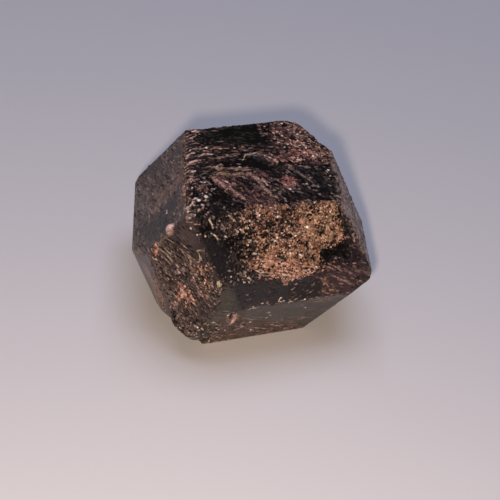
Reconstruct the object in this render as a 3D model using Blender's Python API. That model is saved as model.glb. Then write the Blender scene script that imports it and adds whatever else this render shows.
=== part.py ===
"""Garnet crystal: a rhombic dodecahedron, grown flat, that rests on one of its faces.

Twelve rhombic {110} faces carry the form, each at its own distance from the centre, as natural
growth leaves them. Narrow {211} bevels run along some edges, and one low corner is broken off.
The faces carry growth ledges, ribs, a granular crust, pits, a knob and chips, all one body.

Constants are in millimetres from the crystal's centre; the mesh is in metres, +Z up, and stands
on z = 0 with its origin under the middle of its box.
"""
import math
from dataclasses import dataclass
from itertools import combinations, product

import bmesh
import bpy
import numpy as np

MM = 0.001
NODE = "garnet_crystal"

# The centre of the crystal, measured from the origin.
CENTRE = (0.82, -3.93, 12.54)
# Azimuth of the crystal direction [1 0 -1], which lies level.
TURN = math.radians(61.27)

# Face: Miller indices and distance from the centre. Opposite faces are a pair.
FACES = {
    "top": ((1, 0, 1), 13.92),
    "base": ((-1, 0, -1), 12.54),
    "front_slope": ((0, -1, 1), 14.52),
    "back_under": ((0, 1, -1), 22.95),
    "front_under": ((-1, -1, 0), 12.92),
    "back_slope": ((1, 1, 0), 22.70),
    "left_wall": ((-1, 0, 1), 17.58),
    "back_wall": ((1, 0, -1), 21.08),
    "left_slope": ((0, 1, 1), 17.36),
    "right_under": ((0, -1, -1), 17.68),
    "right_slope": ((1, -1, 0), 18.46),
    "left_under": ((-1, 1, 0), 17.36),
    "front_bevel": ((-1, -2, 1), 14.28),
    "left_bevel": ((-2, 1, 1), 17.76),
    "right_bevel": ((1, -2, -1), 19.62),
    "low_right_bevel": ((-1, -2, -1), 16.20),
    "high_back_bevel": ((2, -1, -1), 20.28),
    "back_bevel": ((2, 1, -1), 24.90),
    "low_back_bevel": ((1, 1, -2), 24.20),
    "low_left_bevel": ((-1, 2, -1), 22.90),
}
# The broken low corner at the front left, by the azimuth and elevation of its fracture.
FRACTURE = (math.radians(-136.9), math.radians(-40.3), 17.24)

# A face's relief fades out over this depth below its plane, past its edges.
FACE_DEPTH = 0.9
# A mesh edge on a plain flat face may be this long.
COARSE_SPACING = 2.6
# Corners closer than this are one corner.
SHORTEST_EDGE = 0.15
NO_RELIEF = "base"


def unit(vector):
    """The vector at length one."""
    vector = np.asarray(vector, float)
    return vector / np.linalg.norm(vector)


def crystal_direction(indices):
    """Miller indices of a cubic crystal as a direction in the part's frame."""
    h, k, l = indices
    level = (h - l) / math.sqrt(2.0)
    x = level * math.cos(TURN) - k * math.sin(TURN)
    y = level * math.sin(TURN) + k * math.cos(TURN)
    return unit((x, y, (h + l) / math.sqrt(2.0)))


def planes():
    """Outward normal and distance of every flat face and of the fracture."""
    normals = [crystal_direction(indices) for indices, _ in FACES.values()]
    distances = [distance for _, distance in FACES.values()]
    azimuth, elevation, distance = FRACTURE
    level = math.cos(elevation)
    normals.append(np.array((level * math.cos(azimuth), level * math.sin(azimuth),
                             math.sin(elevation))))
    return np.array(normals), np.array(distances + [distance])


NORMALS, DISTANCES = planes()
FACE_NAMES = list(FACES) + ["fracture"]
# The zone axis [1 -1 -1] is level: the top's edges at the front and back run along it.
ZONE = unit(np.cross(NORMALS[FACE_NAMES.index("top")], NORMALS[FACE_NAMES.index("back_slope")]))
ZONE = -ZONE if ZONE[0] < 0 else ZONE


@dataclass(frozen=True)
class Chart:
    """A face's own axes: along it, level, and up its slope."""
    normal: np.ndarray
    distance: float
    along: np.ndarray
    up: np.ndarray

    def read(self, points):
        """Along and up coordinates, and the depth below the face's plane."""
        return points @ self.along, points @ self.up, self.distance - points @ self.normal

    def place(self, along, up):
        """The point of the plane at the two coordinates."""
        return self.normal * self.distance + self.along * along + self.up * up


def chart(name):
    """The chart of the named face."""
    index = FACE_NAMES.index(name)
    normal = NORMALS[index]
    level = abs(normal[2]) > 0.99
    along = ZONE if level else unit(np.cross((0, 0, 1), normal))
    return Chart(normal, DISTANCES[index], along, np.cross(normal, along))


CHARTS = {name: chart(name) for name in FACE_NAMES}


# ---------------------------------------------------------------- noise and falloffs

def smooth(value):
    """Smoothstep of a value held between 0 and 1."""
    value = np.clip(value, 0.0, 1.0)
    return value * value * (3.0 - 2.0 * value)


def hashed(cells, seed):
    """A repeatable number from 0 to 1 for each row of whole numbers."""
    mixed = (cells[:, 0] * 73856093) ^ (cells[:, 1] * 19349663) ^ (cells[:, 2] * 83492791)
    mixed = (mixed ^ (seed * 374761393)) & 0xFFFFFFFF
    mixed = ((mixed ^ (mixed >> 13)) * 1274126177) & 0xFFFFFFFF
    return (mixed ^ (mixed >> 16)) / 4294967295.0


def value_noise(points, size, seed):
    """Smooth noise from -1 to 1 whose lumps are about `size` across."""
    scaled = points / size
    corner = np.floor(scaled)
    blend = smooth(scaled - corner)
    corner = corner.astype(np.int64)
    total = np.zeros(len(points))
    for step in product((0, 1), repeat=3):
        step = np.array(step)
        weight = np.prod(np.where(step == 1, blend, 1.0 - blend), axis=1)
        total += weight * hashed(corner + step, seed)
    return total * 2.0 - 1.0


def grains(points, size, seed):
    """Packed round grains: 1 at a grain's middle, falling to 0 between grains."""
    cell = np.floor(points / size).astype(np.int64)
    nearest = np.full(len(points), 9.0)
    for step in product((-1, 0, 1), repeat=3):
        neighbour = cell + np.array(step)
        shift = np.stack([hashed(neighbour, seed + axis) for axis in range(3)], axis=1)
        gap = (neighbour + shift) * size - points
        nearest = np.minimum(nearest, np.einsum("ij,ij->i", gap, gap) / size ** 2)
    return 1.0 - np.clip(np.sqrt(nearest), 0.0, 1.0)


def outline_distance(along, up, outline):
    """Distance inside a closed outline of chart points, negative outside it."""
    corners = np.array(outline, float)
    inside = np.zeros(len(along), bool)
    nearest = np.full(len(along), 1e9)
    for start, end in zip(corners, np.roll(corners, -1, axis=0)):
        side = end - start
        share = ((along - start[0]) * side[0] + (up - start[1]) * side[1]) / (side @ side)
        share = np.clip(share, 0.0, 1.0)
        gap = np.hypot(along - start[0] - share * side[0], up - start[1] - share * side[1])
        nearest = np.minimum(nearest, gap)
        crosses = (start[1] > up) != (end[1] > up)
        rise = side[1] if side[1] else 1e-9
        inside ^= crosses & (along < start[0] + side[0] * (up - start[1]) / rise)
    return np.where(inside, nearest, -nearest)


# ---------------------------------------------------------------- relief features

@dataclass(frozen=True)
class Patch:
    """A raised or sunk area with a rough rim, smooth or made of packed grains."""
    face: str
    outline: tuple
    height: float
    grain: float = 0.0
    grain_size: float = 1.2
    rim: float = 0.6
    spacing: float = 1.0

    def inside(self, points):
        """Distance inside the rim, worn by noise."""
        along, up, _ = CHARTS[self.face].read(points)
        return outline_distance(along, up, self.outline) + 0.5 * value_noise(points, 1.7, 11)

    def rise(self, points):
        """Height added at the points."""
        cover = smooth(self.inside(points) / self.rim + 0.5)
        lumps = self.grain * (grains(points, self.grain_size, 5) - 0.45)
        return cover * (self.height + lumps)

    def fine(self, points):
        """Where the mesh has to be fine."""
        return self.inside(points) > -self.rim


@dataclass(frozen=True)
class Rib:
    """A rounded ridge, or a groove if its height is negative, along a bent line."""
    face: str
    path: tuple
    width: float
    height: float
    spacing: float = 0.8

    def gap(self, points):
        """Distance to the line, and the share of it that has been run."""
        along, up, _ = CHARTS[self.face].read(points)
        nearest = np.full(len(points), 1e9)
        run = np.zeros(len(points))
        pieces = list(zip(self.path[:-1], self.path[1:]))
        for number, (start, end) in enumerate(pieces):
            side = np.subtract(end, start)
            share = ((along - start[0]) * side[0] + (up - start[1]) * side[1]) / (side @ side)
            share = np.clip(share, 0.0, 1.0)
            gap = np.hypot(along - start[0] - share * side[0], up - start[1] - share * side[1])
            run = np.where(gap < nearest, (number + share) / len(pieces), run)
            nearest = np.minimum(nearest, gap)
        return nearest, run

    def rise(self, points):
        """Height added at the points, thinning towards both ends."""
        gap, run = self.gap(points)
        taper = smooth(4.0 * np.minimum(run, 1.0 - run) + 0.25)
        return self.height * taper * smooth(1.0 - gap / self.width)

    def fine(self, points):
        """Where the mesh has to be fine."""
        return self.gap(points)[0] < self.width * 1.2


@dataclass(frozen=True)
class Bump:
    """A round knob, or a chip if its height is negative, centred on a face's plane."""
    face: str
    along: float
    up: float
    radius: float
    height: float
    spacing: float = 0.55

    def gap(self, points):
        """Distance to the centre."""
        return np.linalg.norm(points - CHARTS[self.face].place(self.along, self.up), axis=1)

    def rise(self, points):
        """Height added at the points."""
        return self.height * smooth(1.25 * (1.0 - self.gap(points) / self.radius))

    def fine(self, points):
        """Where the mesh has to be fine."""
        return self.gap(points) < self.radius * 1.15


@dataclass(frozen=True)
class Ledges:
    """Growth ledges across a face, deepest beside the neighbour it meets at a ridge."""
    face: str
    neighbour: str
    low: float
    high: float
    pitch: float
    depth: float
    reach: float
    spacing: float = 0.5

    def strength(self, points):
        """Share of the full depth, by distance from the ridge and from the ends."""
        _, up, _ = CHARTS[self.face].read(points)
        _, _, away = CHARTS[self.neighbour].read(points)
        ends = smooth(np.minimum(up - self.low, self.high - up) / self.pitch)
        return ends * smooth(1.0 - away / self.reach)

    def rise(self, points):
        """Height added: each ledge climbs slowly, then drops."""
        along, up, _ = CHARTS[self.face].read(points)
        wander = 0.30 * value_noise(points, 3.1, 23) + 0.03 * along
        share = np.mod((up + wander) / self.pitch, 1.0)
        tooth = np.where(share < 0.7, share / 0.7, (1.0 - share) / 0.3)
        return self.depth * self.strength(points) * (tooth - 1.0)

    def fine(self, points):
        """Where the mesh has to be fine."""
        return self.strength(points) > 0.12


FEATURES = (
    # The top: ledges beside the left ridge, and weaker ones along the back.
    Ledges("top", "left_slope", 0.0, 17.6, 1.45, 0.55, 4.6),
    Patch("top", ((-15.4, -8.0), (-5.2, -7.6), (-6.6, -1.2), (-7.9, 2.3), (-12.0, 2.6)),
          -0.22, grain=0.75, grain_size=1.5, rim=1.0, spacing=0.8),
    Patch("top", ((6.2, 17.8), (13.2, 17.8), (15.8, 6.0), (13.0, 2.4), (5.0, 4.6), (7.4, 11.0)),
          -0.02, grain=0.55, grain_size=1.5, rim=1.0, spacing=0.85),
    Patch("top", ((-4.8, 17.4), (6.2, 17.2), (6.4, 11.6), (-2.6, 12.2)), -0.18, spacing=1.5),
    Patch("top", ((0.2, 5.6), (2.4, 7.0), (5.0, 3.4), (2.6, 2.7)), -0.40, spacing=0.8),
    Patch("top", ((5.6, 2.2), (12.6, 1.6), (11.2, -7.6), (6.6, -7.4), (7.6, -2.4)),
          -0.22, spacing=1.3),
    Patch("top", ((3.0, -0.6), (5.6, -0.4), (6.6, -2.6), (3.4, -3.4)), 0.30, rim=0.8),
    Rib("top", ((-8.6, 2.9), (-7.2, 0.6), (-6.2, -2.6), (-5.0, -6.9)), 0.85, 0.40),
    Rib("top", ((-6.0, 2.6), (-4.6, 0.2), (-3.8, -3.8)), 0.7, 0.32),
    Rib("top", ((-1.2, 3.4), (-0.7, -1.0), (0.2, -6.4)), 0.8, 0.36),
    Rib("top", ((1.8, 2.0), (2.6, -1.2), (3.2, -5.6)), 0.6, 0.26),
    Rib("top", ((6.0, 3.4), (8.3, -2.7)), 0.55, 0.34),
    Rib("top", ((8.4, 3.2), (10.4, -3.4)), 0.5, 0.28),
    # The front slope: the granular crust, a black hollow in it, and a rough dark area.
    Patch("front_slope", ((-5.9, 8.7), (1.8, 7.9), (9.8, 7.6), (10.6, 5.3), (11.5, 1.9),
                          (10.9, 0.6), (8.2, 0.2), (6.6, -0.8), (5.7, -2.8), (2.5, -3.3),
                          (-4.2, -3.1), (-6.7, -1.2), (-5.6, 1.6), (-4.6, 3.9), (-6.3, 7.0)),
          0.34, grain=0.55, grain_size=1.3, spacing=0.68),
    Patch("front_slope", ((6.4, -0.4), (9.0, 0.3), (11.4, 0.1), (11.2, -1.9), (7.4, -2.2)),
          -0.62, grain=0.4, grain_size=1.2, rim=0.9, spacing=0.6),
    Patch("front_slope", ((-12.4, 8.6), (-6.6, 8.0), (-5.2, 3.6), (-6.4, 0.4), (-9.6, 0.4)),
          -0.08, grain=0.55, grain_size=1.3, rim=1.0, spacing=0.75),
    # The left wall: threads of mica, a wedge, and lumps of salmon-coloured grains.
    Rib("left_wall", ((-4.6, 8.6), (-1.8, 8.0), (0.6, 7.2), (0.8, 8.9)), 0.45, 0.35),
    Rib("left_wall", ((-8.3, 7.5), (-6.4, 6.3), (-3.9, 4.7)), 0.8, 0.45),
    Patch("left_wall", ((-2.8, 1.2), (0.0, 1.6), (1.9, -0.6), (-0.4, -2.6), (-2.9, -1.4)),
          0.30, grain=0.5, grain_size=1.1, spacing=0.8),
    Patch("left_wall", ((-0.4, 7.0), (4.8, 6.2), (5.3, 3.8), (2.0, 0.8), (0.0, 1.6)),
          0.18, grain=0.5, grain_size=1.2, spacing=0.9),
    Patch("left_wall", ((-2.6, -3.8), (5.2, -3.4), (7.6, -5.6), (0.8, -8.6)),
          -0.15, grain=0.45, grain_size=1.2, spacing=1.0),
    Bump("left_slope", 10.9, 1.9, 1.15, 0.70),
    # Chips on edges and corners.
    Bump("right_slope", -4.9, 5.7, 1.3, -0.45),
    Bump("top", 15.0, 9.8, 1.7, -0.40),
    Bump("top", 13.9, 17.6, 2.2, -0.45),
    Bump("front_under", 14.6, 8.8, 1.6, -0.35),
    Bump("left_slope", -20.6, -9.8, 1.6, -0.35),
    # The sides that face away: grown plates, ribs and scabs of crust.
    Patch("right_slope", ((-4.4, 3.4), (7.0, 3.6), (5.0, -4.0), (-4.0, -3.6)), 0.14, spacing=1.5),
    Patch("back_slope", ((-7.0, 1.4), (5.0, 1.6), (8.0, -6.0), (-3.0, -9.0)), 0.22, spacing=1.4),
    Patch("back_slope", ((-4.6, 0.6), (2.8, 0.8), (3.4, -3.4), (-0.6, -4.6)),
          0.20, grain=0.55, grain_size=1.4, spacing=0.9),
    Rib("back_slope", ((-2.0, -11.0), (2.0, -10.2), (7.4, -8.2)), 0.9, 0.35, 1.0),
    Patch("back_wall", ((-4.4, -3.0), (3.0, 5.0), (7.0, -3.6), (1.0, -9.0)),
          0.22, grain=0.60, grain_size=1.5, spacing=0.95),
    Rib("back_wall", ((3.4, 9.6), (8.0, 3.0), (10.4, -1.6)), 0.9, 0.40, 1.0),
    Patch("back_under", ((-5.0, 1.0), (3.4, 1.0), (6.2, 9.0), (-1.0, 10.0)), 0.20, spacing=1.5),
    Patch("left_under", ((-12.0, 8.0), (0.0, 8.2), (3.0, 1.0), (-9.0, -2.0)), 0.20, spacing=1.5),
    Rib("left_under", ((-11.0, 5.4), (-3.0, 3.0), (2.4, 2.6)), 0.8, 0.32, 1.0),
    Patch("right_under", ((0.4, 6.0), (8.0, 6.6), (11.6, 0.2), (3.0, -2.4)),
          0.20, grain=0.55, grain_size=1.5, spacing=1.0),
)


def face_cover(points, name):
    """1 on the named face, falling to 0 a little below its plane."""
    _, _, depth = CHARTS[name].read(points)
    return smooth(1.0 - depth / FACE_DEPTH)


def outward(points):
    """The direction in which relief moves each point: its faces' normals, blended."""
    blend = np.zeros_like(points)
    for name in FACE_NAMES:
        blend += face_cover(points, name)[:, None] * CHARTS[name].normal
    return blend / np.linalg.norm(blend, axis=1)[:, None]


def relief(points):
    """Height that all features add at points of the flat-faced form."""
    height = np.zeros(len(points))
    for feature in FEATURES:
        height += face_cover(points, feature.face) * feature.rise(points)
    return height * (1.0 - face_cover(points, NO_RELIEF))


def wanted_spacing(points):
    """How long a mesh edge may be at each point."""
    spacing = np.full(len(points), COARSE_SPACING)
    for feature in FEATURES:
        near = feature.fine(points) & (face_cover(points, feature.face) > 0.05)
        spacing = np.where(near, np.minimum(spacing, feature.spacing), spacing)
    return spacing


# ---------------------------------------------------------------- the solid

def corners():
    """Every point where three planes meet on the form's surface."""
    found = []
    for trio in combinations(range(len(NORMALS)), 3):
        sides = NORMALS[list(trio)]
        if abs(np.linalg.det(sides)) < 1e-6:
            continue
        point = np.linalg.solve(sides, DISTANCES[list(trio)])
        outside = np.any(NORMALS @ point > DISTANCES + 1e-6)
        known = any(np.linalg.norm(point - other) < SHORTEST_EDGE for other in found)
        if not outside and not known:
            found.append(point)
    return found


def flat_form():
    """The flat-faced form as a triangle mesh, in millimetres from its centre."""
    form = bmesh.new()
    for point in corners():
        form.verts.new(point)
    bmesh.ops.convex_hull(form, input=form.verts)
    bmesh.ops.recalc_face_normals(form, faces=form.faces)
    return form


def flat_edges(form):
    """Edges that lie inside one flat face."""
    return [edge for edge in form.edges if edge.calc_face_angle(0.0) < 0.001]


def refine(form, rounds=9):
    """Halve the edges that are too long for the relief, keeping the crystal's edges."""
    for _ in range(rounds):
        edges = list(form.edges)
        middles = np.array([(edge.verts[0].co + edge.verts[1].co) / 2 for edge in edges])
        limits = wanted_spacing(middles)
        long = [edge for edge, limit in zip(edges, limits) if edge.calc_length() > limit * 1.35]
        if not long:
            break
        bmesh.ops.subdivide_edges(form, edges=long, cuts=1)
        bmesh.ops.triangulate(form, faces=[face for face in form.faces if len(face.verts) > 3])
        bmesh.ops.beautify_fill(form, faces=form.faces, edges=flat_edges(form))


def raise_relief(form):
    """Move every vertex by the relief, then to its place in metres."""
    points = np.array([vertex.co for vertex in form.verts], float)
    moved = points + outward(points) * relief(points)[:, None]
    moved[:, 2] = np.maximum(moved[:, 2], -DISTANCES[FACE_NAMES.index("base")])
    for vertex, place in zip(form.verts, (moved + np.array(CENTRE)) * MM):
        vertex.co = place


def garnet_material():
    """Almandine garnet: nearly black brown-red, with a dull resinous gloss."""
    material = bpy.data.materials.new("almandine_garnet")
    material.use_nodes = True
    shader = material.node_tree.nodes["Principled BSDF"]
    shader.inputs["Base Color"].default_value = (0.070, 0.045, 0.042, 1.0)
    shader.inputs["Roughness"].default_value = 0.38
    shader.inputs["Metallic"].default_value = 0.0
    return material


def build_crystal():
    """The whole crystal as one object."""
    form = flat_form()
    refine(form)
    raise_relief(form)
    bmesh.ops.recalc_face_normals(form, faces=form.faces)
    mesh = bpy.data.meshes.new(NODE)
    form.to_mesh(mesh)
    form.free()
    mesh.materials.append(garnet_material())
    crystal = bpy.data.objects.new(NODE, mesh)
    bpy.context.scene.collection.objects.link(crystal)
    return crystal


for leftover in list(bpy.context.scene.objects):
    bpy.data.objects.remove(leftover)
build_crystal()
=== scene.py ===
"""Finished surfaces of a garnet crystal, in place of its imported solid.

The crystal is almandine garnet: a rhombic dodecahedron that grew flat, with worn edges, growth
ledges beside its left ridge, a tan granular crust on its front slope, and streaks and scabs of
pinkish mica schist on the other faces. The garnet itself is one closed surface. Each coat of
other minerals is a closed shell whose rim dives under the garnet, so that only the grains that
stand proud of it show. Lengths are in millimetres from the crystal's centre until they are
written into a mesh, which is in metres.
"""
import logging
import math
from dataclasses import dataclass, replace
from enum import Enum
from itertools import product

import bpy
import numpy as np
from mathutils import Matrix, Vector


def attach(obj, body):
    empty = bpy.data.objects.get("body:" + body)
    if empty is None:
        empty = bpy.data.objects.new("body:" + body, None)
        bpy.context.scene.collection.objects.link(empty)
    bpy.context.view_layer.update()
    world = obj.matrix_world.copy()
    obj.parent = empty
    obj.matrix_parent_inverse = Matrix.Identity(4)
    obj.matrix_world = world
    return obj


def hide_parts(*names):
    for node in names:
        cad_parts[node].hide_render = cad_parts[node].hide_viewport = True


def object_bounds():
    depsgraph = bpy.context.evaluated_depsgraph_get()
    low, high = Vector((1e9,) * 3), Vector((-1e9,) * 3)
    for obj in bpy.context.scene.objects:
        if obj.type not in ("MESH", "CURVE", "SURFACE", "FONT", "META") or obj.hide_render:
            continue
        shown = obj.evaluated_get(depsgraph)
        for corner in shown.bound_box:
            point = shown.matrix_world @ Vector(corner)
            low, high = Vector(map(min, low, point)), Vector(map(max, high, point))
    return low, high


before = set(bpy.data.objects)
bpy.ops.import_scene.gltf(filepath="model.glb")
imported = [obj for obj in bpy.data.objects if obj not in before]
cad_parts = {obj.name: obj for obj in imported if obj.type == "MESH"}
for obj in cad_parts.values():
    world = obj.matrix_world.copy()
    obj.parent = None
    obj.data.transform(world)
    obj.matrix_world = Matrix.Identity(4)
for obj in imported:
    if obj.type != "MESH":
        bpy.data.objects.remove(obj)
CAD_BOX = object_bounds()

MM = 0.001
NODE = "garnet_crystal"
BODY = "root"
# The crystal's centre, measured from the origin under the middle of its box.
CENTRE = np.array((0.82, -3.93, 12.54))
# Azimuth of the level crystal direction [1 0 -1].
TURN = math.radians(61.27)

LOG = logging.getLogger("garnet")

# A place on a face's chart: along the face, and up its slope.
Spot = tuple[float, float]


class Face(Enum):
    """Flat faces by place: Miller indices and distance from the centre in millimetres."""
    TOP = ((1, 0, 1), 13.92)
    BASE = ((-1, 0, -1), 12.54)
    FRONT_SLOPE = ((0, -1, 1), 14.52)
    BACK_UNDER = ((0, 1, -1), 22.95)
    FRONT_UNDER = ((-1, -1, 0), 12.92)
    BACK_SLOPE = ((1, 1, 0), 22.70)
    LEFT_WALL = ((-1, 0, 1), 17.58)
    BACK_WALL = ((1, 0, -1), 21.08)
    LEFT_SLOPE = ((0, 1, 1), 17.36)
    RIGHT_UNDER = ((0, -1, -1), 17.68)
    RIGHT_SLOPE = ((1, -1, 0), 18.46)
    LEFT_UNDER = ((-1, 1, 0), 17.36)
    FRONT_BEVEL = ((-1, -2, 1), 14.28)
    LEFT_BEVEL = ((-2, 1, 1), 17.76)
    RIGHT_BEVEL = ((1, -2, -1), 19.62)
    LOW_RIGHT_BEVEL = ((-1, -2, -1), 16.20)
    HIGH_BACK_BEVEL = ((2, -1, -1), 20.28)
    BACK_BEVEL = ((2, 1, -1), 24.90)
    LOW_BACK_BEVEL = ((1, 1, -2), 24.20)
    LOW_LEFT_BEVEL = ((-1, 2, -1), 22.90)

    @property
    def indices(self) -> tuple[int, int, int]:
        """The face's Miller indices."""
        return self.value[0]

    @property
    def distance(self) -> float:
        """The plane's distance from the centre in millimetres."""
        return self.value[1]


# The fracture that took the low front left corner: azimuth, elevation and distance.
FRACTURE = (math.radians(-136.9), math.radians(-40.3), 17.24)
# Relief that belongs to a face fades out over this depth below the face's plane.
FACE_DEPTH = 0.9
# The gap kept between every finished surface and the sides of the solid's box.
BOX_MARGIN = 0.02
# Further than anything on the crystal.
FAR = 1e9


def unit(vector: np.ndarray) -> np.ndarray:
    """The vector, or each row of an array of them, at length one."""
    vector = np.asarray(vector, float)
    return vector / np.linalg.norm(vector, axis=-1, keepdims=True)


def smooth(value: np.ndarray) -> np.ndarray:
    """Smoothstep: 3v^2 - 2v^3 of the value held between 0 and 1."""
    value = np.clip(value, 0.0, 1.0)
    return value * value * (3.0 - 2.0 * value)


def linear(hex_colour: str) -> np.ndarray:
    """An sRGB hex colour as three linear values.

    Args:
        hex_colour: Six hex digits, such as "8F6A5C".

    Returns:
        Linear red, green and blue from 0 to 1.
    """
    srgb = np.array([int(hex_colour[i:i + 2], 16) / 255.0 for i in (0, 2, 4)])
    return np.where(srgb <= 0.04045, srgb / 12.92, ((srgb + 0.055) / 1.055) ** 2.4)


def blend(low: np.ndarray, high: np.ndarray, share: np.ndarray) -> np.ndarray:
    """Rows of colour `low` moved towards `high` by each row's share."""
    return low + (high - low) * share[:, None]


# ------------------------------------------------------------------------------ noise

@dataclass(frozen=True)
class Noise:
    """Repeatable noise in space, hashed from whole-number cells. The seed picks its pattern."""
    seed: int

    def hashed(self, cells: np.ndarray, salt: int = 0) -> np.ndarray:
        """A number from 0 to 1 for each cell: its three numbers, mixed bit by bit.

        Args:
            cells: Rows of three whole numbers.
            salt: Another number, for another result from the same cells.

        Returns:
            One value for each row.
        """
        mixed = (cells[:, 0] * 73856093) ^ (cells[:, 1] * 19349663) ^ (cells[:, 2] * 83492791)
        mixed = (mixed ^ ((self.seed + salt) * 374761393)) & 0xFFFFFFFF
        mixed = ((mixed ^ (mixed >> 13)) * 1274126177) & 0xFFFFFFFF
        return (mixed ^ (mixed >> 16)) / 4294967295.0

    def lumps(self, points: np.ndarray, size: float) -> np.ndarray:
        """Value noise from -1 to 1: corner values of a lattice, blended by smoothstep.

        Args:
            points: Rows of places in millimetres.
            size: Lattice spacing in millimetres.

        Returns:
            One value for each row.
        """
        scaled = points / size
        corner = np.floor(scaled)
        share = smooth(scaled - corner)
        corner = corner.astype(np.int64)
        total = np.zeros(len(points))
        for step in product((0, 1), repeat=3):
            step = np.array(step)
            weight = np.prod(np.where(step == 1, share, 1.0 - share), axis=1)
            total += weight * self.hashed(corner + step)
        return total * 2.0 - 1.0

    def rough(self, points: np.ndarray, size: float, octaves: int = 3) -> np.ndarray:
        """Value noise at a size, half of it again at half the size, and so on.

        Args:
            points: Rows of places in millimetres.
            size: The coarsest lattice spacing in millimetres.
            octaves: How many sizes are summed.

        Returns:
            One value from -1 to 1 for each row.
        """
        total = np.zeros(len(points))
        scale = 0.0
        for octave in range(octaves):
            share = 0.5 ** octave
            layer = Noise(self.seed + 31 * octave)
            total += share * layer.lumps(points, size * share)
            scale += share
        return total / scale

    def grains(self, rows: np.ndarray) -> tuple[np.ndarray, ...]:
        """Packed grains one unit wide: a jittered seed in each unit cell.

        Args:
            rows: Places, already divided by a grain's size.

        Returns:
            Distance to the nearest seed and to the second, the nearest seed's cell, and the
            step from that seed to the place.
        """
        cell = np.floor(rows).astype(np.int64)
        first = np.full(len(rows), FAR)
        second = np.full(len(rows), FAR)
        owner = cell.copy()
        step = np.zeros_like(rows)
        for shift in product((-1, 0, 1), repeat=3):
            near = cell + np.array(shift)
            seat = np.stack([self.hashed(near, axis + 1) for axis in range(3)], axis=1)
            away = rows - near - seat
            gap = np.sqrt(np.einsum("ij,ij->i", away, away))
            closer = gap < first
            second = np.where(closer, first, np.minimum(second, gap))
            owner[closer] = near[closer]
            step[closer] = away[closer]
            first = np.where(closer, gap, first)
        return first, second, owner, step


# ------------------------------------------------------------------------------ form

@dataclass(frozen=True)
class Chart:
    """A face's own axes: along it and level, and up its slope."""
    normal: np.ndarray
    distance: float
    along: np.ndarray
    up: np.ndarray

    def read(self, points: np.ndarray) -> tuple[np.ndarray, np.ndarray, np.ndarray]:
        """Along and up coordinates of points, and their depth below the plane."""
        return points @ self.along, points @ self.up, self.distance - points @ self.normal

    def place(self, along: np.ndarray, up: np.ndarray) -> np.ndarray:
        """Points of the plane at the two coordinates."""
        flat = np.multiply.outer(along, self.along) + np.multiply.outer(up, self.up)
        return flat + self.normal * self.distance


class CrystalForm:
    """The flat-faced form with worn edges, met along rays from its centre."""

    def __init__(self) -> None:
        """Works out the planes and the charts from the Miller indices."""
        normals = [self.direction(face.indices) for face in Face]
        azimuth, elevation, distance = FRACTURE
        level = math.cos(elevation)
        normals.append((level * math.cos(azimuth), level * math.sin(azimuth),
                        math.sin(elevation)))
        self.normals = np.array(normals)
        self.distances = np.array([face.distance for face in Face] + [distance])
        zone = unit(np.cross(self.direction((1, 0, 1)), self.direction((1, 1, 0))))
        self.zone = -zone if zone[0] < 0 else zone
        self.charts = {face: self._chart(number) for number, face in enumerate(Face)}

    @staticmethod
    def direction(indices: tuple[int, int, int]) -> np.ndarray:
        """Miller indices of the cubic crystal as a direction in the part's frame.

        Args:
            indices: h, k and l of the face.

        Returns:
            The unit normal.
        """
        h, k, l = indices
        level = (h - l) / math.sqrt(2.0)
        x = level * math.cos(TURN) - k * math.sin(TURN)
        y = level * math.sin(TURN) + k * math.cos(TURN)
        return unit((x, y, (h + l) / math.sqrt(2.0)))

    def _chart(self, number: int) -> Chart:
        """The chart of a plane: level faces take the zone axis as along.

        Args:
            number: The plane's row among the normals.

        Returns:
            The chart.
        """
        normal = self.normals[number]
        is_level = abs(normal[2]) > 0.99
        along = self.zone if is_level else unit(np.cross((0.0, 0.0, 1.0), normal))
        return Chart(normal, self.distances[number], along, np.cross(normal, along))

    def meet(self, directions: np.ndarray, wear: np.ndarray) -> np.ndarray:
        """Where rays from the centre meet the worn form.

        The worn form is where s*log(sum(exp(height_i / s))) is zero, with height_i the
        height above plane i and s the wear: flat away from edges, rounded along them. Four
        Newton steps start from the sharp form.

        Args:
            directions: Unit rows.
            wear: The rounding length s for each row, in millimetres.

        Returns:
            Rows of points in millimetres.
        """
        slope = directions @ self.normals.T
        reach = np.where(slope > 1e-6, self.distances / np.maximum(slope, 1e-6), np.inf)
        radius = reach.min(axis=1)
        for _ in range(4):
            height = slope * radius[:, None] - self.distances
            share = np.exp(np.clip(height / wear[:, None], -60.0, 8.0))
            total = share.sum(axis=1)
            fall = (share * slope).sum(axis=1) / total
            radius = radius - wear * np.log(total) / fall
        return directions * radius[:, None]

    def cover(self, points: np.ndarray, face: Face) -> np.ndarray:
        """1 on the face, falling to 0 a little below its plane."""
        depth = self.charts[face].read(points)[2]
        return smooth(1.0 - depth / FACE_DEPTH)

    def outward(self, points: np.ndarray) -> np.ndarray:
        """The way relief moves points: the normals of the faces they lie on, blended."""
        depth = self.distances - points @ self.normals.T
        return unit(smooth(1.0 - depth / FACE_DEPTH) @ self.normals)


def side_distance(along: np.ndarray, up: np.ndarray, start: Spot,
                  end: Spot) -> tuple[np.ndarray, np.ndarray]:
    """Distance to a straight line between two points of a chart.

    Args:
        along: First chart coordinates.
        up: Second chart coordinates.
        start: The line's first end.
        end: The line's second end.

    Returns:
        The distance, and where on the line it is met, from 0 at its start to 1 at its end.
    """
    side = np.subtract(end, start)
    share = ((along - start[0]) * side[0] + (up - start[1]) * side[1]) / (side @ side)
    share = np.clip(share, 0.0, 1.0)
    gap = np.hypot(along - start[0] - share * side[0], up - start[1] - share * side[1])
    return gap, share


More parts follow.
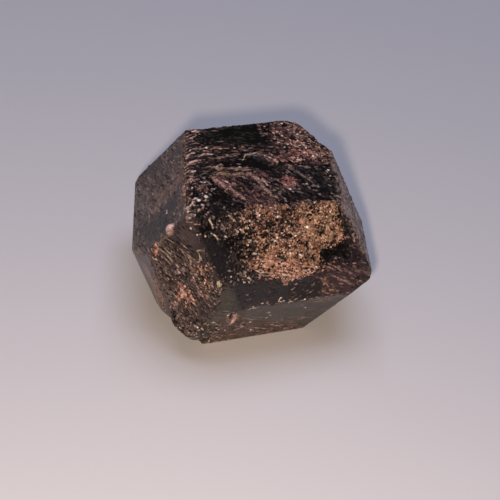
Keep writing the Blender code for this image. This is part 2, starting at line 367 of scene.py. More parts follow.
def outline_distance(along: np.ndarray, up: np.ndarray,
                     outline: tuple[Spot, ...]) -> np.ndarray:
    """Distance inside a closed outline, negative outside it.

    A place is inside if a line from it along the chart crosses an odd number of sides.

    Args:
        along: First chart coordinates.
        up: Second chart coordinates.
        outline: Corners in order.

    Returns:
        The distance to the nearest side, positive inside.
    """
    corners = np.array(outline, float)
    inside = np.zeros(len(along), bool)
    nearest = np.full(len(along), FAR)
    for start, end in zip(corners, np.roll(corners, -1, axis=0)):
        nearest = np.minimum(nearest, side_distance(along, up, start, end)[0])
        side = end - start
        crosses = (start[1] > up) != (end[1] > up)
        # A level side is never crossed, so any rise does for it.
        rise = side[1] or 1.0
        inside ^= crosses & (along < start[0] + side[0] * (up - start[1]) / rise)
    return np.where(inside, nearest, -nearest)


FORM = CrystalForm()


# ------------------------------------------------------------------------------ features

@dataclass(frozen=True)
class Zone:
    """An area of a face, with a rim that noise wears and a soft edge.

    `amount` is the share well inside, `fade` the width of the soft edge, `wear` how far the
    noise moves the rim, and `bite` the width of that noise.
    """
    face: Face
    outline: tuple[Spot, ...]
    amount: float = 1.0
    fade: float = 1.2
    wear: float = 0.7
    bite: float = 1.7

    def share(self, points: np.ndarray) -> np.ndarray:
        """The amount inside the outline, falling to 0 across its rim and off the face.

        Args:
            points: Rows in millimetres from the centre.

        Returns:
            One share for each row.
        """
        along, up, _ = FORM.charts[self.face].read(points)
        inside = outline_distance(along, up, self.outline)
        inside = inside + self.wear * Noise(11).rough(points, self.bite)
        return self.amount * smooth(inside / self.fade + 0.5) * FORM.cover(points, self.face)


@dataclass(frozen=True)
class Rib:
    """A rounded ridge, or a groove if its height is negative, along a bent line."""
    face: Face
    path: tuple[Spot, ...]
    width: float
    height: float = 0.0

    def share(self, points: np.ndarray) -> np.ndarray:
        """1 on the line, 0 at its width from it, thinning over the last fifth at each end.

        Args:
            points: Rows in millimetres from the centre.

        Returns:
            One share for each row.
        """
        along, up, _ = FORM.charts[self.face].read(points)
        nearest = np.full(len(points), FAR)
        run = np.zeros(len(points))
        pieces = list(zip(self.path[:-1], self.path[1:]))
        for number, (start, end) in enumerate(pieces):
            gap, share = side_distance(along, up, start, end)
            run = np.where(gap < nearest, (number + share) / len(pieces), run)
            nearest = np.minimum(nearest, gap)
        taper = smooth(4.0 * np.minimum(run, 1.0 - run) + 0.25)
        return taper * smooth(1.0 - nearest / self.width) * FORM.cover(points, self.face)

    def rise(self, points: np.ndarray) -> np.ndarray:
        """Height that the rib adds."""
        return self.height * self.share(points)


@dataclass(frozen=True)
class Bump:
    """A round knob, or a chip if its height is negative, centred on a face's plane.

    It stops at the face's rim unless it runs `across` it.
    """
    face: Face
    along: float
    up: float
    radius: float
    height: float = 0.0
    across: bool = False

    def share(self, points: np.ndarray) -> np.ndarray:
        """1 over the middle fifth of the radius, falling to 0 at the radius.

        Args:
            points: Rows in millimetres from the centre.

        Returns:
            One share for each row.
        """
        centre = FORM.charts[self.face].place(self.along, self.up)
        gap = np.linalg.norm(points - centre, axis=1)
        share = smooth(1.25 * (1.0 - gap / self.radius))
        return share if self.across else share * FORM.cover(points, self.face)

    def rise(self, points: np.ndarray) -> np.ndarray:
        """Height that the bump adds."""
        return self.height * self.share(points)


@dataclass(frozen=True)
class Plate:
    """A raised or sunk area of even height."""
    zone: Zone
    height: float

    def rise(self, points: np.ndarray) -> np.ndarray:
        """Height that the plate adds."""
        return self.height * self.zone.share(points)


@dataclass(frozen=True)
class Ledges:
    """Growth ledges across a face, deepest beside the neighbour it meets at a ridge.

    They run from `low` to `high` up the face's chart, one every `pitch`, `depth` deep at the
    ridge and gone at `reach` from it. A ledge climbs over `climb` of its pitch, then drops.
    """
    face: Face
    neighbour: Face
    low: float
    high: float
    pitch: float
    depth: float
    reach: float
    climb: float = 0.7

    def ends(self, points: np.ndarray) -> np.ndarray:
        """1 along the ledges' stretch of the ridge, 0 beyond its two ends."""
        up = FORM.charts[self.face].read(points)[1]
        return smooth(np.minimum(up - self.low, self.high - up) / self.pitch)

    def strength(self, points: np.ndarray) -> np.ndarray:
        """Share of the full depth, by distance from the ridge and from the ends.

        Args:
            points: Rows in millimetres from the centre.

        Returns:
            One share for each row.
        """
        away = FORM.charts[self.neighbour].read(points)[2]
        cover = FORM.cover(points, self.face)
        return self.ends(points) * smooth(1.0 - away / self.reach) * cover

    def tooth(self, points: np.ndarray) -> np.ndarray:
        """A saw tooth from 0 to 1 across the ledges: it climbs slowly, then drops.

        The ledges leave the ridge at a slant and bend level: they rise by half of the
        distance from the ridge, less 0.06 of its square, until they are level 4.2 mm away.
        Two sizes of noise make them wander by up to 0.6 mm.

        Args:
            points: Rows in millimetres from the centre.

        Returns:
            One value for each row.
        """
        up = FORM.charts[self.face].read(points)[1]
        away = np.clip(FORM.charts[self.neighbour].read(points)[2], 0.0, 4.2)
        arc = 0.5 * away - 0.06 * away ** 2
        wander = 0.45 * Noise(23).lumps(points, 2.2) + 0.16 * Noise(24).lumps(points, 0.8)
        share = np.mod((up - arc + wander) / self.pitch, 1.0)
        return np.where(share < self.climb, share / self.climb,
                        (1.0 - share) / (1.0 - self.climb))

    def rise(self, points: np.ndarray) -> np.ndarray:
        """Height added: the crests keep the face's plane and the rest sinks below it."""
        return self.depth * self.strength(points) * (self.tooth(points) - 1.0)


@dataclass(frozen=True)
class Steps:
    """One part of each ledge, such as its crest or its foot, fading from the ridge.

    It is gone where the saw tooth is at `start` and whole, at `limit`, where it is at `full`.
    Each `reach` from the ridge leaves about a third of it.
    """
    ledges: Ledges
    start: float
    full: float
    reach: float
    limit: float = 1.0

    def share(self, points: np.ndarray) -> np.ndarray:
        """The limit times the part, the ledges' ends, and a decay with the way from the ridge.

        Args:
            points: Rows in millimetres from the centre.

        Returns:
            One share for each row.
        """
        tooth = self.ledges.tooth(points)
        away = FORM.charts[self.ledges.neighbour].read(points)[2]
        part = smooth((tooth - self.start) / (self.full - self.start))
        ends = self.ledges.ends(points) * FORM.cover(points, self.ledges.face)
        return self.limit * part * ends * np.exp(-np.maximum(away, 0.0) / self.reach)


RIDGE_LEDGES = Ledges(Face.TOP, Face.LEFT_SLOPE, 0.4, 17.8, 1.05, 0.34, 4.6)
KNOB = Bump(Face.LEFT_SLOPE, 10.9, 1.8, 1.30, 0.80)

# Areas of the top, in its chart: along the zone axis and away from the front.
SMOOTH_BACK = Zone(Face.TOP, ((-4.6, 17.8), (6.4, 17.6), (6.2, 11.6), (-4.4, 12.4)), fade=2.0)
DARK_LENS = Zone(Face.TOP, ((-0.1, 5.8), (2.0, 7.5), (5.0, 3.8), (3.6, 2.5), (2.0, 2.6)),
                 fade=0.7, wear=0.5)
DARK_RIGHT = Zone(Face.TOP, ((6.4, 2.4), (12.6, 1.8), (11.2, -8.0), (8.2, -8.0), (8.4, -2.6)),
                  fade=1.4)
MOTTLED_RIGHT = Zone(Face.TOP, ((7.4, 18.8), (13.8, 18.8), (16.6, 6.0), (13.8, 2.0),
                                (3.8, 4.2), (4.0, 6.8), (7.6, 10.8)), fade=3.4, wear=1.4)
ROUGH_FRONT = Zone(Face.TOP, ((-15.9, -8.9), (-11.6, -8.9), (-11.4, -5.0), (-7.8, -1.6),
                              (-7.6, 1.4), (-12.9, 2.4)), fade=1.2)
DARK_FRONT = Zone(Face.TOP, ((-11.0, -8.8), (-10.6, -4.6), (-8.8, -2.4), (-6.8, -3.6),
                             (-6.2, -8.8)), fade=1.4)
MIDDLE = Zone(Face.TOP, ((-8.0, 2.6), (4.4, 3.0), (5.2, -1.0), (1.4, -5.6), (-1.6, -9.2),
                         (-5.2, -9.2)), fade=1.6)
TAN_BAND = Zone(Face.TOP, ((-7.0, 6.0), (-4.4, 6.6), (-3.6, 4.8), (-1.6, 5.8), (0.4, 4.6),
                           (3.0, 2.6), (2.8, 1.6), (-6.2, 2.0)), fade=1.4)
ROSE_PATCH = Zone(Face.TOP, ((2.9, -0.4), (5.7, -0.2), (6.7, -2.6), (3.6, -3.5)), fade=0.7)
ROSE_RIGHT = Zone(Face.TOP, ((4.4, 6.6), (8.6, 8.6), (12.8, 8.0), (12.6, 3.6), (8.0, 3.2)),
                  fade=1.6)
SALMON_RIGHT = Zone(Face.TOP, ((9.4, 4.2), (8.8, 7.0), (10.4, 11.8), (13.4, 11.4), (13.4, 6.0),
                               (12.4, 3.2)), fade=1.8, wear=1.2)
# Areas of the front slope.
CRUST = Zone(Face.FRONT_SLOPE, ((-6.6, 8.9), (1.8, 8.3), (9.9, 8.0), (10.3, 5.3), (11.0, 1.9),
                                (10.6, 0.6), (8.2, 0.2), (6.6, -0.8), (5.7, -2.7), (2.5, -3.4),
                                (-2.2, -3.1), (-6.4, -1.2), (-5.4, 1.6), (-4.5, 3.9),
                                (-6.3, 7.0)), fade=1.2, wear=0.9)
CRUST_CORE = Zone(Face.FRONT_SLOPE, ((2.6, 6.4), (9.8, 7.2), (10.2, 1.6), (6.4, 0.2),
                                     (5.2, -2.6), (-2.0, -2.6), (-4.6, -0.6), (-3.4, 2.4),
                                     (1.2, 3.0)), fade=2.0, wear=1.2)
# The hollow in the crust: sunk, and coloured near-black as painted shade over dark garnet.
SHADED_HOLLOW = Zone(Face.FRONT_SLOPE, ((6.4, -0.6), (8.0, 0.1), (9.2, -0.5), (10.4, 0.3),
                                       (11.6, 0.1), (11.4, -1.8), (9.4, -1.3), (7.6, -2.0)),
                    fade=0.5, wear=1.2)
SPECKLED_FRONT = Zone(Face.FRONT_SLOPE, ((-12.8, 8.6), (-5.6, 8.6), (-3.6, 4.0), (-4.6, 0.4),
                                         (-8.2, 0.8), (-11.2, 3.8)), fade=1.6)
SALTED_FRONT = Zone(Face.FRONT_SLOPE, ((-10.6, -1.2), (-5.0, 0.2), (-3.2, -3.6),
                                       (-10.4, -3.8)), fade=1.2)
SMOOTH_FRONT = Zone(Face.FRONT_SLOPE, ((-14.6, 4.6), (-11.8, 3.6), (-8.4, 0.0), (-8.8, -2.4),
                                       (-11.6, -3.0)), fade=1.8, wear=1.0)
RIGHT_FACET = Zone(Face.FRONT_SLOPE, ((11.4, 2.4), (13.8, 2.2), (16.0, -4.6), (8.4, -4.6),
                                      (8.0, -2.6), (11.4, -2.2)), fade=0.9)
# Areas of the left wall.
MOTTLED_LEFT = Zone(Face.LEFT_WALL, ((-0.8, 6.6), (3.6, 7.2), (4.6, 3.4), (2.6, 0.4),
                                     (0.2, 1.6)), fade=1.4)
SALMON_LEFT = Zone(Face.LEFT_WALL, ((-3.0, 1.6), (-0.4, 1.4), (1.2, -0.8), (-0.4, -2.7),
                                    (-2.7, -1.8)), fade=1.2)
ROUGH_LEFT = Zone(Face.LEFT_WALL, ((-3.4, -3.4), (5.2, -3.2), (7.6, -5.6), (0.8, -8.6)),
                  fade=1.6)
# The stain on the strip between the left wall and the left slope.
LEFT_STAIN = Zone(Face.LEFT_BEVEL, ((-3.4, 4.0), (0.6, 4.2), (1.8, -0.6), (-1.6, -1.4)), 0.9,
                  fade=2.6, wear=1.4)

# Rough areas, and the share of the pits' full depth that each of them has.
PITTED = ((ROUGH_FRONT, 1.0), (ROUGH_LEFT, 0.4), (SPECKLED_FRONT, 0.7), (MIDDLE, 0.6))
PIT_DEPTH, PIT_WIDTH = 0.22, 1.3
# Fine growth marks all over the garnet.
GROWTH_DEPTH, GROWTH_WIDTH = 0.018, 0.9
# How far edges are rounded, and how much more or less noise makes it.
EDGE_WEAR, EDGE_SWING = 0.075, 0.055
# The garnet's size for that noise, which rays meet before its surface is known.
BALL = 20.0

PLATES = (
    Plate(SMOOTH_BACK, -0.10),
    Plate(DARK_LENS, -0.30),
    Plate(DARK_RIGHT, -0.18),
    Plate(SHADED_HOLLOW, -0.60),
    Plate(ROUGH_LEFT, -0.12),
    Plate(Zone(Face.BACK_SLOPE, ((-7.0, 1.4), (5.0, 1.6), (8.0, -6.0), (-3.0, -9.0))), 0.20),
    Plate(Zone(Face.BACK_UNDER, ((-5.0, 1.0), (3.4, 1.0), (6.2, 9.0), (-1.0, 10.0))), 0.18),
    Plate(Zone(Face.LEFT_UNDER, ((-12.0, 8.0), (0.0, 8.2), (3.0, 1.0), (-9.0, -2.0))), 0.18),
    Plate(Zone(Face.RIGHT_SLOPE, ((-4.4, 3.4), (7.0, 3.6), (5.0, -4.0), (-4.0, -3.6))), 0.12),
)
LEFT_RIB = Rib(Face.TOP, ((-7.9, 2.9), (-6.8, 0.2), (-5.4, -3.2), (-4.5, -6.6)), 0.75, 0.34)
PLUM_RIB = Rib(Face.TOP, ((-4.9, 2.6), (-3.4, -0.6), (-3.0, -4.6)), 0.6, 0.24)
MIDDLE_RIB = Rib(Face.TOP, ((-1.0, 2.4), (-0.5, -1.0), (0.2, -6.4)), 0.6, 0.26)
RIGHT_RIB = Rib(Face.TOP, ((6.0, 3.8), (7.6, 0.6), (8.6, -2.7)), 0.45, 0.28)
RIBS = (
    LEFT_RIB, PLUM_RIB, MIDDLE_RIB,
    Rib(Face.TOP, ((1.8, 2.0), (2.6, -1.2), (3.2, -5.6)), 0.6, 0.22),
    RIGHT_RIB,
    Rib(Face.TOP, ((7.2, 3.4), (9.6, -3.2)), 0.40, 0.22),
    Rib(Face.TOP, ((8.6, 3.2), (10.8, -3.4)), 0.40, 0.22),
    Rib(Face.LEFT_WALL, ((-4.6, 8.4), (-1.8, 7.8), (0.9, 7.0), (0.9, 8.4)), 0.40, 0.26),
    Rib(Face.LEFT_WALL, ((-8.3, 7.3), (-6.4, 6.0), (-3.9, 4.7)), 0.75, 0.34),
    Rib(Face.BACK_SLOPE, ((-2.0, -11.0), (2.0, -10.2), (7.4, -8.2)), 0.9, 0.30),
    Rib(Face.BACK_WALL, ((3.4, 9.6), (8.0, 3.0), (10.4, -1.6)), 0.9, 0.34),
    Rib(Face.LEFT_UNDER, ((-11.0, 5.4), (-3.0, 3.0), (2.4, 2.6)), 0.8, 0.28),
)
# Chips along the edges, after the two swellings that fill out the low left corner.
CHIPS = (
    Bump(Face.LEFT_WALL, -0.7, -7.2, 5.2, 0.95, across=True),
    Bump(Face.LEFT_BEVEL, 0.6, -2.6, 3.2, 0.35, across=True),
    Bump(Face.RIGHT_SLOPE, -4.9, 5.7, 1.3, -0.45),
    Bump(Face.TOP, 15.0, 9.8, 1.7, -0.20),
    Bump(Face.TOP, 12.9, -0.6, 1.0, -0.40),
    Bump(Face.FRONT_UNDER, 14.6, 8.8, 1.6, -0.35),
    Bump(Face.LEFT_SLOPE, -20.6, -9.8, 1.4, -0.18),
)


def garnet_relief(points: np.ndarray) -> np.ndarray:
    """Height of the bare garnet's relief: plates, ribs, ledges, knob, chips and fine growth.

    Args:
        points: Points of the worn form.

    Returns:
        Millimetres along the outward direction, none on the base.
    """
    height = RIDGE_LEDGES.rise(points) + KNOB.rise(points)
    for feature in PLATES + RIBS + CHIPS:
        height += feature.rise(points)
    rough = np.max([depth * zone.share(points) for zone, depth in PITTED], axis=0)
    height += rough * PIT_DEPTH * Noise(41).rough(points, PIT_WIDTH)
    height += GROWTH_DEPTH * Noise(43).rough(points, GROWTH_WIDTH)
    return height * (1.0 - FORM.cover(points, Face.BASE))


def surface(directions: np.ndarray) -> tuple[np.ndarray, np.ndarray]:
    """The bare garnet's surface along rays from the centre.

    Args:
        directions: Unit rows.

    Returns:
        Points of the surface, and the outward direction at each.
    """
    wear = EDGE_WEAR + EDGE_SWING * Noise(3).rough(directions * BALL, 3.0)
    flat = FORM.meet(directions, wear)
    outward = FORM.outward(flat)
    return flat + outward * garnet_relief(flat)[:, None], outward


# ------------------------------------------------------------------------------ meshes

def in_box(points: np.ndarray) -> np.ndarray:
    """Points held inside the solid's box, off its sides and its top by the margin.

    Args:
        points: Rows in millimetres from the crystal's centre.

    Returns:
        Rows in metres from the part's origin.
    """
    low, high = np.array(CAD_BOX[0]), np.array(CAD_BOX[1])
    margin = BOX_MARGIN * MM
    places = (points + CENTRE) * MM
    return np.clip(places, low + margin * np.array((1, 1, 0)), high - margin)


def put(name: str, data: bpy.types.ID) -> bpy.types.Object:
    """A new object that shows the data, linked to the scene."""
    thing = bpy.data.objects.new(name, data)
    bpy.context.scene.collection.objects.link(thing)
    return thing


def make_piece(name: str, points: np.ndarray, faces: list[np.ndarray],
               colours: np.ndarray, roughness: np.ndarray) -> bpy.types.Object:
    """A mesh object from whole arrays, at the origin, with its place in its mesh.

    Args:
        name: The object's name.
        points: Rows in millimetres from the crystal's centre.
        faces: Arrays of corner numbers, one array for each number of corners.
        colours: Linear colour of each point, kept as the attribute "tint".
        roughness: Of each point, kept as the attribute "dull".

    Returns:
        The linked object.
    """
    corners = np.concatenate([block.ravel() for block in faces]).astype(np.int32)
    totals = np.concatenate([np.full(len(block), block.shape[1]) for block in faces])
    starts = np.concatenate(([0], np.cumsum(totals)[:-1])).astype(np.int32)
    mesh = bpy.data.meshes.new(name)
    mesh.vertices.add(len(points))
    mesh.vertices.foreach_set("co", in_box(points).astype(np.float32).ravel())
    mesh.loops.add(len(corners))
    mesh.loops.foreach_set("vertex_index", corners)
    mesh.polygons.add(len(totals))
    mesh.polygons.foreach_set("loop_start", starts)
    mesh.update(calc_edges=True)
    mesh.validate()
    mesh.shade_smooth()
    tint = mesh.attributes.new("tint", "FLOAT_COLOR", "POINT")
    rows = np.column_stack((colours, np.ones(len(points)))).astype(np.float32)
    tint.data.foreach_set("color", rows.ravel())
    dull = mesh.attributes.new("dull", "FLOAT", "POINT")
    dull.data.foreach_set("value", roughness.astype(np.float32))
    return put(name, mesh)


def grid_faces(numbers: np.ndarray) -> np.ndarray:
    """Four corner numbers for each cell of a grid of point numbers."""
    corners = (numbers[:-1, :-1], numbers[1:, :-1], numbers[1:, 1:], numbers[:-1, 1:])
    return np.stack(corners, axis=-1).reshape(-1, 4)


def palette(share: np.ndarray, hexes: tuple[str, ...]) -> np.ndarray:
    """Colours read along a row of hex colours, from the first at 0 to the last at 1.

    Args:
        share: Where each colour is read, from 0 to 1.
        hexes: The row of sRGB hex colours, at even steps.

    Returns:
        Rows of linear colour.
    """
    colours = np.array([linear(text) for text in hexes])
    stops = np.linspace(0.0, 1.0, len(hexes))
    share = np.clip(share, 0.0, 1.0)
    return np.stack([np.interp(share, stops, colours[:, axis]) for axis in range(3)], axis=1)


# ------------------------------------------------------------------------------ layers

def thin(zone: Zone, amount: float) -> Zone:
    """The same area with another amount of cover."""
    return replace(zone, amount=amount)


@dataclass(frozen=True)
class Layer:
    """A mineral that lies on the garnet over some zones, drawn out along a flow.

    It lies on `zones` and leaves out `bare`. `width` is the width of one grain and `rise` its
    height in millimetres, `stretch` its length over its width, and `flow` the angle of its
    length in the face's chart, in degrees from level. `colours` is the row of hex colours that
    grains pick from, and `patch` and `patchy` gather them as `cover` says.
    """
    seed: int
    width: float
    colours: tuple[str, ...]
    zones: tuple[Zone, ...]
    bare: tuple[Zone, ...] = ()
    rise: float = 0.15
    stretch: float = 1.0
    flow: float = 0.0
    roughness: float = 0.60
    patchy: float = 0.8
    patch: float = 4.0

    def cover(self, points: np.ndarray) -> np.ndarray:
        """How much lies here: the strongest zone, less the bare ones, gathered in patches.

        A patch is `patch` grains wide, and the cover swings by `patchy` times itself.

        Args:
            points: Rows in millimetres from the centre.

        Returns:
            The cover at each row, 0 where there is none.
        """
        cover = np.max([zone.share(points) for zone in self.zones], axis=0)
        cover = cover - sum(zone.share(points) for zone in self.bare)
        swing = Noise(self.seed + 17).rough(self.rows(points), self.patch, 2)
        return np.clip(cover, 0.0, 1.0) * (1.0 + 2.0 * self.patchy * swing)

    def rows(self, points: np.ndarray) -> np.ndarray:
        """Places along the flow, across it and through the face, measured in grains.

        Args:
            points: Rows in millimetres from the centre.

        Returns:
            Rows of the three measures.
        """
        along, up, depth = FORM.charts[self.zones[0].face].read(points)
        angle = math.radians(self.flow)
        run = along * math.cos(angle) + up * math.sin(angle)
        side = up * math.cos(angle) - along * math.sin(angle)
        return np.column_stack((run / self.stretch, side, depth)) / self.width

    def share(self, points: np.ndarray,
              cover: np.ndarray) -> tuple[np.ndarray, np.ndarray, np.ndarray]:
        """Where the layer is: each kind of layer has its own way.

        Args:
            points: Rows in millimetres from the centre.
            cover: How much of the layer lies at each row.

        Returns:
            The layer's share, its height in rises, and a number that picks its colour.
        """
        raise NotImplementedError

    def lay(self, points: np.ndarray, height: np.ndarray, colours: np.ndarray,
            roughness: np.ndarray) -> None:
        """Lays the mineral over what is there: its height adds, its colour covers.

        The colour is whole from two thirds of a share upwards.

        Args:
            points: Rows in millimetres from the centre.
            height: Height over the garnet, changed in place.
            colours: Linear colours, changed in place.
            roughness: Roughness, changed in place.
        """
        cover = self.cover(points)
        near = cover > 0.0
        here, lift, pick = self.share(points[near], cover[near])
        height[near] += self.rise * here * lift
        here = smooth(1.5 * here)
        colours[near] = blend(colours[near], palette(pick, self.colours), here)
        roughness[near] += (self.roughness - roughness[near]) * here


@dataclass(frozen=True)
class Grit(Layer):
    """Packed angular grains. Thin cover leaves only some of them.

    A grain is the cell round a jittered seed. Its top is flat and leans its own way, its
    sides fall to its neighbours, and it is there where the cover beats its own number.
    `bank` is the width of a side, in grains, and `edge` how sharply the cover decides.
    """
    bank: float = 0.30
    edge: float = 0.08

    def share(self, points: np.ndarray,
              cover: np.ndarray) -> tuple[np.ndarray, np.ndarray, np.ndarray]:
        """The grains: a body, a top 0.5 to 1.2 rises high that leans, and a colour each.

        Args:
            points: Rows in millimetres from the centre.
            cover: How much of the layer lies at each row.

        Returns:
            The grain's body, its height in rises, and a number that picks its colour.
        """
        noise = Noise(self.seed)
        first, second, owner, step = noise.grains(self.rows(points))
        body = np.sqrt(np.clip((second - first) / self.bank, 0.0, 1.0))
        here = body * smooth((cover - noise.hashed(owner, 8)) / self.edge)
        lean = np.stack([noise.hashed(owner, salt) - 0.5 for salt in (11, 12, 13)], axis=1)
        lift = 0.5 + 0.7 * noise.hashed(owner, 9) + 2.0 * np.einsum("ij,ij->i", lean, step)
        return here, lift, noise.hashed(owner, 10)


@dataclass(frozen=True)
class Hairs(Layer):
    """Thin raised threads: the lines where a drawn-out noise is under `fine` from zero."""
    fine: float = 0.10

    def share(self, points: np.ndarray,
              cover: np.ndarray) -> tuple[np.ndarray, np.ndarray, np.ndarray]:
        """The threads: a round body, one rise high, and a slow change of colour.

        They are whole from half cover upwards.

        Args:
            points: Rows in millimetres from the centre.
            cover: How much of the layer lies at each row.

        Returns:
            The thread's body, its height in rises, and a number that picks its colour.
        """
        rows = self.rows(points)
        line = smooth(1.0 - np.abs(Noise(self.seed).rough(rows, 1.0, 2)) / self.fine)
        pick = 0.5 + 0.5 * Noise(self.seed + 7).rough(rows, 0.7)
        return line * smooth(2.0 * cover), np.ones(len(points)), pick


@dataclass(frozen=True)
class Mark:
    """One vein, knob, speck or stain, coloured in its own place.

    `rise` is its height, `broken` how much of its rim noise takes away, and `grain` the width
    of that noise and of the swing of its colour. Lengths are in millimetres. Some marks are
    painted shade in grooves and chips, or painted highlight.
    """
    feature: Rib | Bump | Zone | Steps
    colours: tuple[str, ...]
    rise: float = 0.0
    broken: float = 0.5
    roughness: float = 0.50
    grain: float = 0.45

    def lay(self, points: np.ndarray, height: np.ndarray, colours: np.ndarray,
            roughness: np.ndarray) -> None:
        """Colours and raises what is there by the feature's share.

        The colour covers 1.6 times the share, less `broken` times a noise from 0 to 1.

        Args:
            points: Rows in millimetres from the centre.
            height: Height over the garnet, changed in place.
            colours: Linear colours, changed in place.
            roughness: Roughness, changed in place.
        """
        share = np.clip(self.feature.share(points), 0.0, 1.0)
        near = share > 0.0
        rows, share = points[near], share[near]
        gaps = Noise(71).rough(rows, self.grain, 2)
        cover = smooth(1.6 * share - self.broken * (0.5 + gaps))
        pick = 0.5 + 0.7 * Noise(72).rough(rows, self.grain, 2)
        height[near] += self.rise * share
        colours[near] = blend(colours[near], palette(pick, self.colours), cover)
        roughness[near] += (self.roughness - roughness[near]) * cover


def specks(face: Face, places: tuple[Spot, ...], colours: tuple[str, ...], radius: float,
           rise: float = 0.08) -> tuple[Mark, ...]:
    """Single bright grains.

    Args:
        face: The face that they are on.
        places: Their middles.
        colours: The row of hex colours that they take.
        radius: Their radius in millimetres.
        rise: Their height in millimetres.

    Returns:
        A mark for each grain.
    """
    # With the glint colours, a speck is a painted glint.
    return tuple(Mark(Bump(face, along, up, radius), colours, rise, broken=0.2, roughness=0.25)
                 for along, up in places)


def veins(face: Face, paths: tuple[tuple[Spot, ...], ...], colours: tuple[str, ...],
          width: float, rise: float = 0.05, broken: float = 0.6) -> tuple[Mark, ...]:
    """Thin bent lines of one mineral.

    Args:
        face: The face that they cross.
        paths: The bends of each line in order.
        colours: The row of hex colours that they take.
        width: How far they reach to either side, in millimetres.
        rise: Their height in millimetres.
        broken: How much of them noise takes away.

    Returns:
        A mark for each line.
    """
    # Some lines are painted highlight: the ledges' crests and the glints along the front bevel's
    # foot.
    return tuple(Mark(Rib(face, path, width), colours, rise, broken) for path in paths)


# Albedo rows that grains and noise pick from. First those of minerals: dull grains, grey-brown,
# pink and plum mica, tan crust, cream quartz, rose, salmon, rust, old gold, the knob, the
# ledges' pink crests lightened as painted highlight, and olive; then painted shade for gaps,
# pits and grooves, and painted glints that stand for the glance of mica flakes.
DUSK = ("080606", "18120F", "3C302B", "0E0B0A")
GREY = ("120D0B", "544640", "8E7C72", "241C1A")
PINK = ("241614", "745048", "B48E82", "382624", "D8B6A8")
PLUM = ("110B0B", "402B29", "70504B", "201615", "927068")
TAN = ("160D09", "704A34", "B08568", "4A2F23", "926B55", "DAB294", "5E4030")
CREAM = ("4A3A32", "94806E", "CCB6A0", "F0E2D4")
ROSE = ("482C28", "88574F", "B5847A")
SALMON = ("36201A", "8C604E", "C0937F", "DEBBAC")
RUST = ("1A110E", "584136", "8A6C5A", "B49680")
GOLD = ("4A3826", "8E7050", "BC9C74")
KNOB_ROSE = ("C49484", "EEC8BA", "FAE4DA")
# Painted highlight: the ledges' pink crests, lightened where light catches them.
CREST_HIGHLIGHT = ("4A3630", "AC8C80", "E6CEC2")
OLIVE = ("464140", "55504C")
# Painted shade: near-black that stands for shade in gaps, pits, grooves, chips and seams.
PAINTED_SHADE = ("060404", "0E0A09")
# Painted glints: near-white that stands for the glance of mica flakes.
PAINTED_GLINT = ("D0C0B0", "FAF4EE")
# Then those of worn ground, threads and stains that one face alone has, and the painted
# highlight of the right slope.
CRUST_GOLD = ("4E3E2C", "98795A", "C0A182", "6A523A")
FACET_WORN = ("1A1413", "4E3E3B", "74605A")
STRIP_WORN = ("2E2623", "6A5A52", "8A7A72")
WALL_CALM = ("3B3231", "4E4340")
WALL_GROUND = ("2A2221", "564946", "71625D", "3A302E")
WALL_GRAIN = ("3A2E2C", "7A635D", "B0958C")
WALL_THREAD = ("4C3C36", "806C62", "A8948A")
WALL_VEIN = ("4E4238", "82735F", "A8967E", "C4B49E")
STRAW = ("6A5844", "AC9878", "E4D6BC")
SLOPE_GROUND = ("382C29", "4E413C")
SLOPE_OLIVE = ("2E2F28", "3E3E37")
SLOPE_BROWN = ("5C463A", "86695A")
SLOPE_PALE = ("5E524C", "7C6F68")
SLOPE_GRAIN = ("2C2421", "5E4D44", "84705F", "3E332F")
SLOPE_CRACK = ("1A1413", "302724")
SLOPE_THREAD = ("4A3E39", "806E64", "A08E82")
SLOPE_DARK = ("17110F", "352A26")
SLOPE_SHADE = ("1E1614", "3A2D28")
SLOPE_DASH = ("5A4A42", "8C7A70", "B4A396")
UNDER_GROUND = ("2E2320", "5C4840", "80685E", "43342F")
UNDER_SALMON = ("6E4A40", "C0907F", "ECD2C4")
UNDER_VEIN = ("6A625E", "A29A94", "CCC4BE")
BEVEL_GROUND = ("38342F", "47423C")
BEVEL_BLACK = ("120D0C", "241A18")
BEVEL_WORN = ("3A2B29", "5E4A45", "745E57")
BEVEL_TAN = ("2A1E18", "6E5040", "98785F", "4A3628")
# Painted highlight of the right slope.
SIDE_HIGHLIGHT = ("8C7C74", "AE9A92", "968A7E")

# Areas that the layers lie on, face by face.
TOP_BACK = Zone(Face.TOP, ((-15.0, 2.6), (-6.6, 19.2), (14.2, 19.2), (17.2, 6.0),
                           (15.8, 2.2)), fade=1.6)
TOP_FRONT = Zone(Face.TOP, ((-16.6, -9.6), (-13.8, 3.6), (16.4, 3.2), (12.6, -9.6)), fade=1.6)
BACK_FLECKS = Zone(Face.TOP, ((-8.4, 7.0), (-6.2, 12.6), (1.0, 12.2), (5.4, 9.0), (5.0, 6.6),
                              (0.6, 7.4)), fade=1.6)
LEDGE_STRIP = Zone(Face.TOP, ((-15.6, 0.6), (-6.8, 18.6), (-3.6, 18.4), (-8.4, 6.0),
                              (-10.6, 1.0)), fade=2.0)
RIGHT_RIM = Zone(Face.TOP, ((11.0, 15.0), (13.6, 17.6), (16.6, 6.0), (14.4, 1.8),
                            (12.8, 2.4), (13.4, 8.0)), fade=1.6)
TOP_EDGE = Zone(Face.TOP, ((-7.0, -6.6), (1.4, -7.6), (10.0, -8.4), (11.0, -9.8),
                           (-7.0, -9.8)), fade=1.4, wear=1.0)
SPECKLED_TOP = Zone(Face.TOP, ((0.0, -2.6), (6.6, -2.2), (9.0, -9.2), (-2.0, -9.2)), fade=1.4)
FRONT_ALL = Zone(Face.FRONT_SLOPE, ((-16.2, 8.6), (-11.9, -4.2), (15.6, -4.2), (11.6, 8.6)),
                 fade=0.6, wear=0.2)
